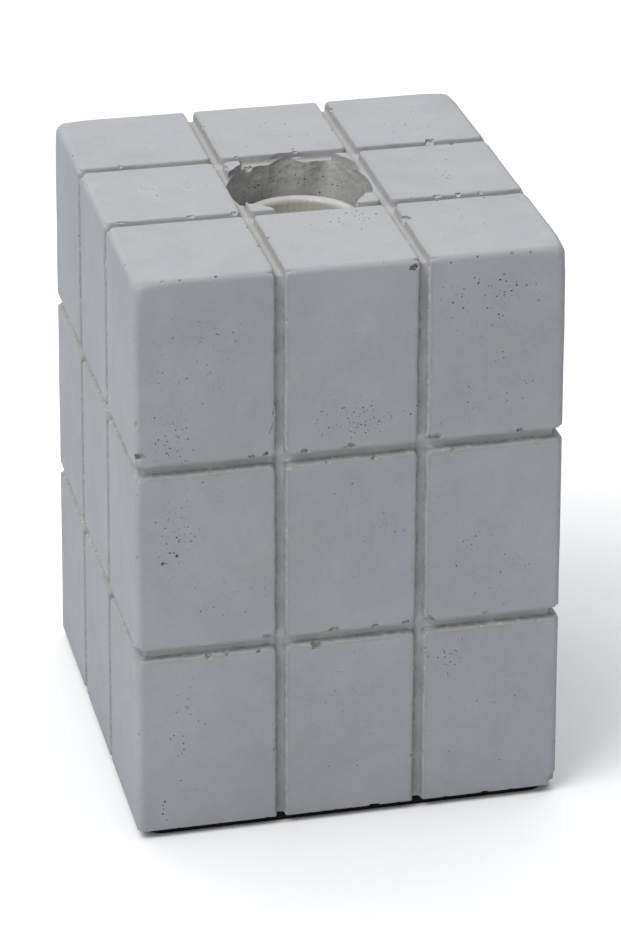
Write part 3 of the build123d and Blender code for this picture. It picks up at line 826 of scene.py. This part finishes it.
# %% Cut the well and the hidden hollows
well_floor_z = box_mm("seat_washer")[0].z
pocket_top_z = box_mm("clamp_washer")[1].z
bushing_low, bushing_high = box_mm("cord_bushing")
cord_z = (bushing_low.z + bushing_high.z) / 2
back_y = casting_high.y + 1
flange_thick = 1.5
fine_z = top_z - 16.2        # from here up the rows stand closer, for the broken mouth
coarse_rows, fine_rows, fine_step = 14, 56, 0.3
well_rows = [well_floor_z + (fine_z - well_floor_z) * i / coarse_rows for i in range(1, coarse_rows + 1)]
well_rows += [fine_z + fine_step * i for i in range(1, fine_rows + 1)]
well_profile = [(well_radius, z) for z in [well_floor_z] + well_rows]
cut(casting, lathe("well_cutter", well_profile, 360, well_wobble), well_concrete)
for name, radius, start, end, segments in (
    ("bore_cutter", 5.5, (0, 0, foot_z + 5), (0, 0, well_floor_z + 1), 64),
    ("pocket_cutter", 23.0, (0, 0, foot_z - 1), (0, 0, pocket_top_z), 96),
    ("cord_cutter", 4.5, (0, 0, cord_z), (0, back_y, cord_z), 64),
    ("sleeve_cutter", 6.1, (0, bushing_low.y, cord_z), (0, back_y, cord_z), 64),
    ("flange_cutter", 8.1, (0, bushing_high.y - flange_thick, cord_z), (0, back_y, cord_z), 64),
):
    cut(casting, rod(name, radius, start, end, segments))
print("after the cores:", len(casting.data.vertices), "points")

# %% [markdown]
# ## Chips and air pores
# Concrete loses crumbs from its lips when the mould is pulled off, and air bubbles against the mould leave
# round pores. Bump alone would look painted on where an edge is broken, so both are cut for real. A chip is
# a rough lump, and a pore is a small ball set half into the face. A lump that would touch another is dropped.

# %% A rough lump, and a set of lumps that keep apart
unit_ball = {}
for detail in (1, 2, 3):
    ball = bmesh.new()
    bmesh.ops.create_icosphere(ball, subdivisions=detail, radius=1.0)
    unit_ball[detail] = ([v.co.copy() for v in ball.verts], [[v.index for v in f.verts] for f in ball.faces])
    ball.free()


class Lumps:
    """Gathers small closed lumps that don't touch, to be cut away together."""

    def __init__(self):
        self.points, self.faces, self.places = [], [], []

    def add(self, place, size, detail=1, rough=0.0, seed=0):
        """size is the lump's half size, or its half sizes in X, Y and Z."""
        place, size = Vector(place), Vector((size, size, size) if isinstance(size, float) else size)
        reach = max(size) * (1 + rough)
        if any((other - place).length < reach + other_reach for other, other_reach in self.places):
            return
        self.places.append((place, reach))
        points, faces = unit_ball[detail]
        start = len(self.points)
        axis = [chance.random() - 0.5 for _ in range(3)]
        spin = Quaternion(axis, chance.random() * 6)
        for point in points:
            turned = spin @ point
            bumps = ripple(turned * 1.3, 1.0, seed + len(self.places)) + 0.4 * ripple(turned * 3.4, 1.0, seed)
            swell = 1 + rough * bumps
            self.points.append(place + Vector(turned[i] * size[i] for i in range(3)) * swell)
        self.faces += [[start + i for i in face] for face in faces]

    def cutter(self, name):
        return make_mesh(name, self.points, self.faces)


def face_point(face, across, up, sunk=0.0):
    """A point on one of the casting's faces. across runs along X or Y, up along Z (or Y on the top)."""
    if face == "top":
        return Vector((across, up, top_z - sunk))
    wider = draft * (top_z - up)
    side = -1 if face in ("front", "left") else 1
    if face in ("front", "back"):
        return Vector((across, side * (half_depth + wider - sunk), up))
    return Vector((side * (half_width + wider - sunk), across, up))


def by_face(places):
    """The rows of every face's list, each with its face in front."""
    return [(face, *row) for face, rows in places.items() for row in rows]


def half_of(face):
    """Half of the face's width."""
    return half_depth if face in ("left", "right") else half_width


# %% Chips along the lips
chips = Lumps()
# A corner of the foot has been knocked off, and the tips of the middle block are crumbled.
for place, size in (
    ((76.8, -79.7, 2.8), (3.5, 3.5, 7.4)), ((-77.3, -80.3, 3.0), (2.0, 2.0, 2.2)),
    ((-18.4, 24.4, 213.2), (1.3, 0.9, 1.2)), ((-22.9, 18.6, 213.4), (1.0, 1.6, 1.1)),
    ((-14.0, 23.4, 210.4), (1.6, 1.5, 1.3)), ((18.8, 24.2, 213.3), (1.2, 0.8, 1.0)),
    ((-21.6, -16.4, 213.2), (1.4, 1.0, 1.2)), ((14.0, -24.2, 213.2), (1.1, 0.9, 1.2)),
):
    chips.add(place, size, 3, 0.4, 900)
broken_lips = {
    # the chips that catch the eye, as (across, up, size)
    "top": [
        (27.2, -41.5, 2.2), (54.5, 28.4, 2.0), (61.0, 24.2, 1.6), (52.5, 28.4, 1.5), (-26.6, -55.2, 1.1),
        (-28.9, -24.1, 1.3), (59.0, -24.0, 1.2), (51.2, -24.0, 1.2), (22.4, 27.6, 1.1), (4.2, 28.2, 0.9),
        (27.2, -30.0, 1.0), (-22.6, -49.0, 0.8),
    ],
    "front": [
        (21.4, 210.4, 1.7), (-24.0, 212.0, 0.8), (-30.2, 146.3, 1.4), (-35.0, 146.0, 1.2),
        (-22.6, 140.7, 1.6), (-0.7, 146.2, 2.0), (-16.5, 146.1, 1.5), (8.0, 140.9, 1.3),
        (29.3, 146.4, 2.5), (59.5, 146.0, 1.3), (36.0, 140.9, 1.0), (-30.1, 75.9, 1.8), (-6.0, 75.9, 1.9),
        (9.0, 75.8, 1.4), (19.8, 75.8, 1.5), (27.9, 76.0, 2.3), (49.0, 75.9, 1.9), (48.0, 70.4, 2.6),
        (-12.0, 70.4, 2.3), (-74.0, 150.0, 1.9), (-50.8, 70.6, 1.5), (-32.6, 70.6, 1.4),
        (-44.0, 70.8, 1.0),
    ],
}
for face, across, up, size in by_face(broken_lips):
    chips.add(face_point(face, across, up, 0.1), (size, size, size * 0.8), 3, 0.5, 100)


upright_share, long_share = 0.45, 0.45


def chip_grooves(face, count):
    """Small crumbs lost from the lips of every groove on a face, some of them drawn out along the lip."""
    half = half_of(face)
    across_grooves = (-half / 3, half / 3)
    up_grooves = (-groove_y, groove_y) if face == "top" else groove_z
    up_range = (6 - half_depth, half_depth - 6) if face == "top" else (foot_z + 4, top_z - 6)
    for _ in range(count):
        size = 0.45 + 0.75 * chance.random() ** 3
        lip = groove_width / 2 - 0.2 + 0.2 * size
        side = chance.choice((-1, 1))
        runs_up = chance.random() < upright_share
        if runs_up:
            across = chance.choice(across_grooves) + side * lip
            up = chance.uniform(*up_range)
        else:
            across = chance.uniform(6 - half, half - 6)
            up = chance.choice(up_grooves) + side * lip
        if face == "top" and math.hypot(across, up) < well_radius + 5:
            continue
        sizes = [size, size, size]
        if chance.random() < long_share:
            up_axis = 1 if face == "top" else 2
            across_axis = 1 if face in ("left", "right") else 0
            sizes[up_axis if runs_up else across_axis] = size * (1.8 + 2.2 * chance.random())
        chips.add(face_point(face, across, up, 0.1 * size), sizes, 2 if size > 0.8 else 1, 0.4, 200)


for face, count in (("top", 95), ("front", 105), ("left", 80), ("right", 80), ("back", 80)):
    chip_grooves(face, count)

# Crumbs off the outer edges: the upright corners, the foot and the top edge.
edge_tuck = edge_radius * (1 - math.sqrt(0.5))        # from the sharp edge in to the rounded one
corner_crumbs, foot_crumbs, top_crumbs = 9, 26, 5
for corner_x in (-1, 1):
    for corner_y in (-1, 1):
        for _ in range(corner_crumbs):
            up = chance.uniform(foot_z + 3, top_z - 8)
            size = 0.5 + 0.7 * chance.random() ** 2
            place = face_point("left" if corner_x < 0 else "right", corner_y * half_depth, up)
            place.y = corner_y * (half_depth + draft * (top_z - up))
            place -= Vector((corner_x, corner_y, 0)) * (edge_tuck - 0.25 * size)
            chips.add(place, (size, size, size * 1.6), 1, 0.35, 300)
for face in ("front", "back", "left", "right"):
    half = half_of(face)
    for _ in range(foot_crumbs):
        across = chance.uniform(8 - half, half - 8)
        size = 0.5 + 1.0 * chance.random() ** 2
        chips.add(face_point(face, across, foot_z + 0.1, 0.1), (size * 1.8, size * 1.2, size), 2, 0.45, 400)
    for _ in range(top_crumbs):
        across = chance.uniform(8 - half, half - 8)
        size = 0.45 + 0.4 * chance.random()
        chips.add(face_point(face, across, top_z - edge_tuck, edge_tuck), size, 1, 0.35, 500)
print("chips:", len(chips.places))
cut(casting, chips.cutter("chip_cutter"), broken_concrete)

# %% Scratches and a hairline crack
# Each is a slender rod that lies just above the face, so that only its lowest part bites.
scratch_radius, crack_radius = 0.42, 0.3
scratches = [
    # ends as (X, Y, height over the top face)
    ((-58.0, 4.0, 0.25), (-52.5, -2.8, 0.28)), ((-54.5, 3.6, 0.3), (-51.8, -0.4, 0.3)),
    ((-42.0, 1.5, 0.3), (-37.8, -2.6, 0.27)), ((-39.5, 2.2, 0.3), (-36.6, -0.8, 0.31)),
]
for scratch in scratches:
    start, end = ((x, y, top_z + over) for x, y, over in scratch)
    cut(casting, rod("scratch_cutter", scratch_radius, start, end, 12), broken_concrete)
crack_low, crack_high = face_point("front", -29.0, 154.0, -0.12), face_point("front", -27.2, 158.6, -0.12)
cut(casting, rod("crack_cutter", crack_radius, crack_low, crack_high, 10), pore_concrete)

# %% Air pores
pores = Lumps()
clusters = {
    # (across, up, spread across, spread up, how many, smallest and largest radius)
    "front": [
        (-62, 155, 8, 12, 34, 0.16, 0.36), (-52, 182, 20, 20, 26, 0.15, 0.32),
        (-62, 118, 9, 16, 30, 0.16, 0.40), (-45, 95, 20, 14, 14, 0.15, 0.32),
        (2, 156, 16, 7, 40, 0.15, 0.34), (8, 120, 14, 16, 12, 0.15, 0.30),
        (48, 196, 22, 12, 40, 0.15, 0.40), (52, 165, 18, 16, 16, 0.15, 0.30),
        (50, 100, 20, 20, 20, 0.15, 0.34), (-60, 40, 10, 25, 22, 0.16, 0.36),
        (-70, 10, 4, 8, 8, 0.3, 0.5), (0, 40, 20, 24, 14, 0.15, 0.30), (36, 60, 8, 8, 14, 0.16, 0.34),
        (52, 35, 18, 24, 14, 0.15, 0.30),
    ],
    "top": [
        (-50, 52, 18, 16, 10, 0.16, 0.30), (0, 50, 20, 14, 16, 0.16, 0.38),
        (50, 50, 16, 14, 12, 0.16, 0.34), (50, 0, 16, 14, 12, 0.16, 0.40),
        (-50, 0, 16, 14, 8, 0.16, 0.30), (6, -40, 16, 10, 16, 0.18, 0.42),
        (-50, -50, 16, 16, 8, 0.15, 0.28), (50, -50, 16, 16, 10, 0.15, 0.30),
    ],
    "left": [
        (-50, 150, 16, 30, 26, 0.16, 0.36), (0, 100, 16, 50, 26, 0.16, 0.36),
        (50, 120, 16, 50, 26, 0.16, 0.36), (-50, 50, 16, 25, 16, 0.16, 0.36),
    ],
    "right": [
        (-50, 150, 16, 30, 30, 0.16, 0.38), (0, 100, 16, 50, 26, 0.16, 0.36),
        (50, 120, 16, 50, 26, 0.16, 0.36), (-40, 50, 20, 25, 22, 0.16, 0.36),
    ],
    "back": [
        (-50, 150, 16, 30, 30, 0.16, 0.38), (10, 110, 20, 50, 26, 0.16, 0.36),
        (50, 120, 16, 50, 26, 0.16, 0.36), (-40, 50, 20, 25, 22, 0.16, 0.36),
    ],
}
closer, swollen = 1.7, 1.1        # the front and top have more pores than listed, and all are a little larger


def is_flat(face, across, up):
    """Whether a pore at this place would stay clear of the edges, the grooves and the well."""
    half = half_of(face)
    low, high = (6 - half_depth, half_depth - 6) if face == "top" else (foot_z + 3, top_z - 6)
    up_grooves = (-groove_y, groove_y) if face == "top" else groove_z
    groove_gap = min(abs(abs(across) - half / 3), min(abs(up - middle) for middle in up_grooves))
    in_well = face == "top" and math.hypot(across, up) < well_radius + 4
    return abs(across) <= half - 6 and low < up < high and groove_gap >= groove_reach + 0.4 and not in_well


for face, across, up, wide, tall, count, small, large in by_face(clusters):
    for _ in range(round(closer * count) if face in ("front", "top") else count):
        radius = swollen * (small + (large - small) * chance.random() ** 1.7)
        place = (across + chance.gauss(0, wide / 2), up + chance.gauss(0, tall / 2))
        if is_flat(face, *place):
            pores.add(face_point(face, *place, 0.12 + 0.15 * radius), radius)

single_pores = {
    # the pores that stand out, as (across, up, radius)
    "front": [
        (-66.5, 108.7, 0.75), (-61.5, 111.2, 0.65), (-64.0, 112.6, 0.4), (43.5, 212.2, 0.7),
        (55.5, 212.4, 0.6), (62.0, 212.2, 0.55), (67.5, 212.3, 0.45), (34.0, 211.0, 0.4),
    ],
    "top": [
        (4.1, 30.9, 0.55), (-52.2, -2.6, 0.35), (59.0, -29.5, 0.45), (8.5, -33.0, 0.5),
        (12.5, -31.5, 0.45), (18.5, -36.0, 0.5), (5.0, -37.0, 0.4),
    ],
}
for face, across, up, radius in by_face(single_pores):
    pores.add(face_point(face, across, up, 0.1), radius, 2, 0.15)

# Pores in the wall of the well: the large ones at given places, the rest anywhere.
well_pores = [
    # (angle in degrees, height, radius)
    (74, 203.9, 0.5), (81, 205.1, 0.35), (60, 204.7, 0.4), (62, 198.9, 0.45), (93, 206.4, 0.35),
    (113, 203.4, 0.5), (116, 202.8, 0.4), (122, 203.3, 0.3), (102, 198.6, 0.4), (109, 198.0, 0.35),
    (101, 200.2, 0.3), (79, 202.0, 0.3), (63, 207.2, 0.3), (44, 204.0, 0.3), (36, 206.5, 0.25),
    (128, 200.5, 0.35),
]
small_well_pores = 80
well_pores += [(chance.uniform(0, 360), top_z - chance.uniform(4.5, 36), 0.15 + 0.3 * chance.random() ** 2)
               for _ in range(small_well_pores)]
for turn, up, radius in well_pores:
    turn = math.radians(turn)
    reach = well_wobble(turn, well_radius, up) + 0.1
    pores.add((reach * math.cos(turn), reach * math.sin(turn), up), radius)
print("pores:", len(pores.places))
cut(casting, pores.cutter("pore_cutter"), pore_concrete)
print("finishes on the casting:", [m.name for m in casting.data.materials])
print("finished casting:", len(casting.data.vertices), "points")

# %% [markdown]
# ## Hand the casting over
# The finished skin stands for the CAD casting, rides on the same body and takes the same finish slot.

# %% Name, shade and place the casting
def hand_over(piece, node, body, crease=35):
    """The piece stands for a CAD node and rides on its body. Edges sharper than crease,
    in degrees, stay crisp."""
    piece.data.shade_smooth()
    piece.data.set_sharp_from_angle(angle=math.radians(crease))
    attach(piece, body)
    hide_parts(node)
    print(piece.name, "stands for", node, "with", len(piece.data.polygons), "faces")


hand_over(casting, "concrete_body", "lamp_base", crease=42)

# %% [markdown]
# ## The pad under the foot
# The pad is cut from a sheet of closed-cell foam with a knife. Its edge is a little ragged, and it is
# pinched at top and bottom. Rings of points, one above the other, are set in from the outline by small
# uneven amounts.

# %% Rings joined in a row
def join_rings(name, rings, finish):
    """A closed body through rings with the same number of points, capped at both ends."""
    count, faces = len(rings[0]), []
    for level in range(len(rings) - 1):
        for i in range(count):
            here, there = level * count + i, level * count + (i + 1) % count
            faces.append([here, there, there + count, here + count])
    faces.append(list(reversed(range(count))))
    faces.append([(len(rings) - 1) * count + i for i in range(count)])
    return make_mesh(name, [point for ring in rings for point in ring], faces, finish)


# %% Foam pad
pad_low, pad_high = box_mm("base_pad")
pad_corner, pad_step, corner_steps = 8.0, 1.6, 8
set_back = 0.7        # the knife cut a little inside the line
pinch = [
    # (height, inset)
    (0.0, 0.45), (0.12, 0.2), (0.5, 0.06), (1.5, 0.0), (2.5, 0.06), (2.88, 0.2), (3.0, 0.45),
]


def pad_outline():
    """Points round the pad's rounded rectangle, each with its outward direction."""
    outline = []
    straight_x, straight_y = pad_high.x - pad_corner, pad_high.y - pad_corner
    for quarter, (x, y) in enumerate(((1, 1), (-1, 1), (-1, -1), (1, -1))):
        middle = Vector((x * straight_x, y * straight_y, 0))
        for step in range(corner_steps + 1):
            turn = math.radians(90 * quarter + 90 * step / corner_steps)
            outward = Vector((math.cos(turn), math.sin(turn), 0))
            outline.append((middle + outward * pad_corner, outward))
        length = 2 * (straight_x if quarter % 2 == 0 else straight_y)
        along = Vector((-outward.y, outward.x, 0))
        parts = round(length / pad_step)
        corner_end = outline[-1][0]
        outline += [(corner_end + along * length * i / parts, outward) for i in range(1, parts)]
    return outline


def cut_edge(place, outward, height, inset):
    """A point on the pad's ragged edge."""
    spot = place + Vector((0, 0, pad_low.z + (pad_high.z - pad_low.z) * height / pinch[-1][0]))
    ragged = 0.14 + 0.12 * ripple(spot, 6, 80) + 0.5 * max(0.0, ripple(spot, 2.0, 81) - 0.3)
    return spot - outward * (set_back + inset + ragged)


outline = pad_outline()
pad_rings = [[cut_edge(place, outward, *level) for place, outward in outline] for level in pinch]
pad = join_rings("foam_base_pad", pad_rings, finishes["foam_pad"])
hand_over(pad, "base_pad", "lamp_base")

# %% [markdown]
# ## The porcelain holder
# The holder is pressed from clay in a die, dipped in glaze and fired, so every corner comes out soft and the
# rim is fully round. A closed profile is turned about the axis. The holes for the screws and rivets are then
# cut through its inner floor. The faint flutes inside the rim are marks of the die.

# %% Round the corners of a profile
def soften(profile, radius, steps=2):
    """Rounds every corner of a closed profile of (radius, z)."""
    soft = []
    for before, here, after in zip(profile[-1:] + profile[:-1], profile, profile[1:] + profile[:1]):
        before, here, after = Vector(before), Vector(here), Vector(after)
        reach = min(radius, 0.4 * (before - here).length, 0.4 * (after - here).length)
        start = here + (before - here).normalized() * reach
        end = here + (after - here).normalized() * reach
        for step in range(steps + 1):
            share = step / steps
            soft.append(tuple(start.lerp(here, share).lerp(here.lerp(end, share), share)))
    return soft


# %% Turn and drill the holder
holder_low, holder_high = box_mm("holder_body")
septum_low, septum_high, seat_z = 158.0, 166.0, 188.6
rim_middle, rim_round = 20.9, 2.3
rim_z = holder_high.z - rim_round
flutes, flute_deep = 52, 0.07
holder_profile = [
    (18.6, seat_z), (14.6, seat_z), (14.6, septum_high), (4.85, septum_high), (4.85, septum_low),
    (17.5, septum_low), (17.5, holder_low.z), (21.0, holder_low.z), (21.0, 165.0), (23.2, 169.0),
]
holder_profile += [(rim_middle + rim_round * math.cos(math.radians(18 * i)),
                    rim_z + rim_round * math.sin(math.radians(18 * i))) for i in range(11)]


def die_marks(turn, radius, z):
    """Flutes on the inside below the rim, and the slight unevenness of fired clay."""
    place = Vector((math.cos(turn) * radius, math.sin(turn) * radius, z))
    fluted = flute_deep * math.cos(flutes * turn) if radius < 19 and z > seat_z else 0.0
    return radius + fluted - 0.05 + 0.05 * ripple(place, 12, 90)


def drill(piece, places, radius, low, high, segments):
    """Upright holes through a piece, with the piece's own finish inside."""
    for x, y in places:
        cut(piece, rod("drill", radius, (x, y, low), (x, y, high), segments), piece.data.materials[0])


holder = lathe("porcelain_holder", soften(holder_profile, 0.7), 4 * flutes, die_marks, closed=True,
               finish=finishes["porcelain"])
screw_places, rivet_places = ((0, 9.5), (0, -9.5)), ((10.4, 0), (-10.4, 0))
rivet_radius = 1.25
drill(holder, screw_places, 1.8, septum_low - 1, septum_high + 1, 32)
drill(holder, rivet_places, rivet_radius, septum_low - 1, septum_high + 1, 24)
drill(holder, rivet_places[:1], 2.6, septum_low - 1, septum_low + 4, 40)        # a well for the rivet's head
hand_over(holder, "holder_body", "lamp_base")

# %% [markdown]
# ## The screw shell
# The shell is pressed from thin plated brass. Its round thread is rolled in after drawing, so the sheet keeps
# its thickness and the inside and outside follow the same wave. That wave climbs one pitch for each turn.

# %% Screw shell with its rolled thread
thread_pitch, thread_deep = 3.63, 1.05
thread_low, thread_high = 173.6, 187.6
thread_rows = [172.6 + 0.36 * i for i in range(43)]


def rolled_thread(turn, radius, z):
    """Presses the thread's valleys inwards, fading at both ends of the thread."""
    if radius < 13.2 or radius > 14.0:
        return radius
    fade = ease(z, thread_low - 1.2, thread_low + 1.2) * (1 - ease(z, thread_high - 1.4, thread_high + 0.6))
    wave = 0.5 - 0.5 * math.cos(2 * math.pi * (z - thread_low) / thread_pitch - turn)
    return radius - thread_deep * wave * fade


shell_profile = [(8.6, 166.0), (12.45, 166.0), (12.6, 166.15), (12.6, 171.1), (13.0, 171.8), (13.9, 172.5)]
shell_profile += [(13.9, z) for z in thread_rows]
shell_profile += [(13.9, 188.5), (14.0, seat_z), (16.5, seat_z), (16.6, 188.7), (16.6, 189.1), (16.5, 189.2),
                  (13.6, 189.2), (13.35, 188.9)]
shell_profile += [(13.3, z) for z in reversed(thread_rows)]
shell_profile += [(12.2, 171.6), (12.0, 171.2), (12.0, 166.75), (11.85, 166.6), (8.6, 166.6)]
brass = finishes["plated_brass"]
shell = lathe("screw_shell", shell_profile, 144, rolled_thread, closed=True, finish=brass)
drill(shell, screw_places, 3.0, 165, 169, 40)        # room for the screws' heads
drill(shell, rivet_places, rivet_radius, 165, 168, 24)
hand_over(shell, "thread_shell", "lamp_base", crease=50)

# %% [markdown]
# ## The spring under the centre contact
# The spring is wound from round wire, and its end coils are closed so that it stands square. Its foot stays
# in the cup and its head goes down with the plunger, so it rides on the base.

# %% Contact spring
wire_radius, coil_radius, coil_turns, closed_turns = 0.34, 3.2, 5.0, 0.8
coil_steps, wire_sides = 220, 10
spring_low, spring_high = (value.z for value in box_mm("plunger_spring"))


def wire_ring(turns):
    """The wire's outline after this many turns from the foot."""
    low, high = spring_low + wire_radius, spring_high - wire_radius
    closed_rise = 2.1 * wire_radius * closed_turns
    open_share = min(1.0, max(0.0, (turns - closed_turns) / (coil_turns - 2 * closed_turns)))
    closed_share = (min(turns, closed_turns) + max(0.0, turns - coil_turns + closed_turns)) / closed_turns
    z = low + closed_rise * closed_share + (high - low - 2 * closed_rise) * open_share
    turn, ring = 2 * math.pi * turns, []
    for side in range(wire_sides):
        round_wire = 2 * math.pi * side / wire_sides
        reach = coil_radius + wire_radius * math.cos(round_wire)
        ring.append((reach * math.cos(turn), reach * math.sin(turn), z + wire_radius * math.sin(round_wire)))
    return ring


coil = [wire_ring(coil_turns * step / coil_steps) for step in range(coil_steps + 1)]
spring = join_rings("contact_spring", coil, finishes["spring_steel"])
hand_over(spring, "plunger_spring", "lamp_base", crease=60)
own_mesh(spring)

# %% [markdown]
# ## The stage
# A wide pale floor, a soft light from the upper left, a larger one overhead, and a pale surround. The camera
# looks down a little and sees the front and the left side.

# %% Floor
floor_size = 12.0


def make_floor():
    half = floor_size / 2
    mesh = bpy.data.meshes.new("studio_floor")
    corners = [(-half, -half, 0), (half, -half, 0), (half, half, 0), (-half, half, 0)]
    mesh.from_pydata(corners, [], [(0, 1, 2, 3)])
    floor = bpy.data.objects.new("studio_floor", mesh)
    scene.collection.objects.link(floor)
    finish = Finish("pale_floor", Specular_IOR_Level=0.2)
    paint = finish.use(mineral_paste, Base=(0.90, 0.90, 0.90, 1), Mottle=0.08, Grit=0.05, Grain_Size=2.0)
    floor.data.materials.append(finish.feed(paint["Colour"], 0.9, paint["Height"], 0.1))


make_floor()


# %% Lights
def soft_light(name, place, target, size, watts):
    light = bpy.data.lights.new(name, "AREA")
    light.shape = "SQUARE"
    light.size = size
    light.energy = watts
    lamp = bpy.data.objects.new(name, light)
    lamp.location = place
    lamp.rotation_euler = (Vector(target) - Vector(place)).to_track_quat("-Z", "Y").to_euler()
    scene.collection.objects.link(lamp)


soft_light("key", (-1.6, -0.85, 2.5), (0, 0, 0.1), 1.8, 56)
soft_light("overhead", (0.0, 0.6, 2.8), (0, 0, 0.1), 4.0, 91)
studio = bpy.data.worlds.new("studio")
studio.use_nodes = True
surround = studio.node_tree.nodes["Background"].inputs
surround["Color"].default_value = (0.93, 0.965, 1.0, 1)
surround["Strength"].default_value = 0.222
scene.world = studio
scene.view_settings.view_transform = "Standard"

# %% Camera
looks_at = Vector((3.83, 0.0, 101.5)) * MM
camera_away = 1.3969
azimuth, elevation, roll = (math.radians(v) for v in (-13.15, 25.79, 0.19))
level = math.cos(elevation)
back = Vector((math.sin(azimuth) * level, -math.cos(azimuth) * level, math.sin(elevation)))
lens = bpy.data.cameras.new("camera")
lens.lens = 147.69
lens.clip_end = 50
camera = bpy.data.objects.new("camera", lens)
camera.location = looks_at + back * camera_away
camera.rotation_mode = "QUATERNION"
camera.rotation_quaternion = (-back).to_track_quat("-Z", "Y") @ Quaternion((0, 0, 1), roll)
scene.collection.objects.link(camera)
scene.camera = camera
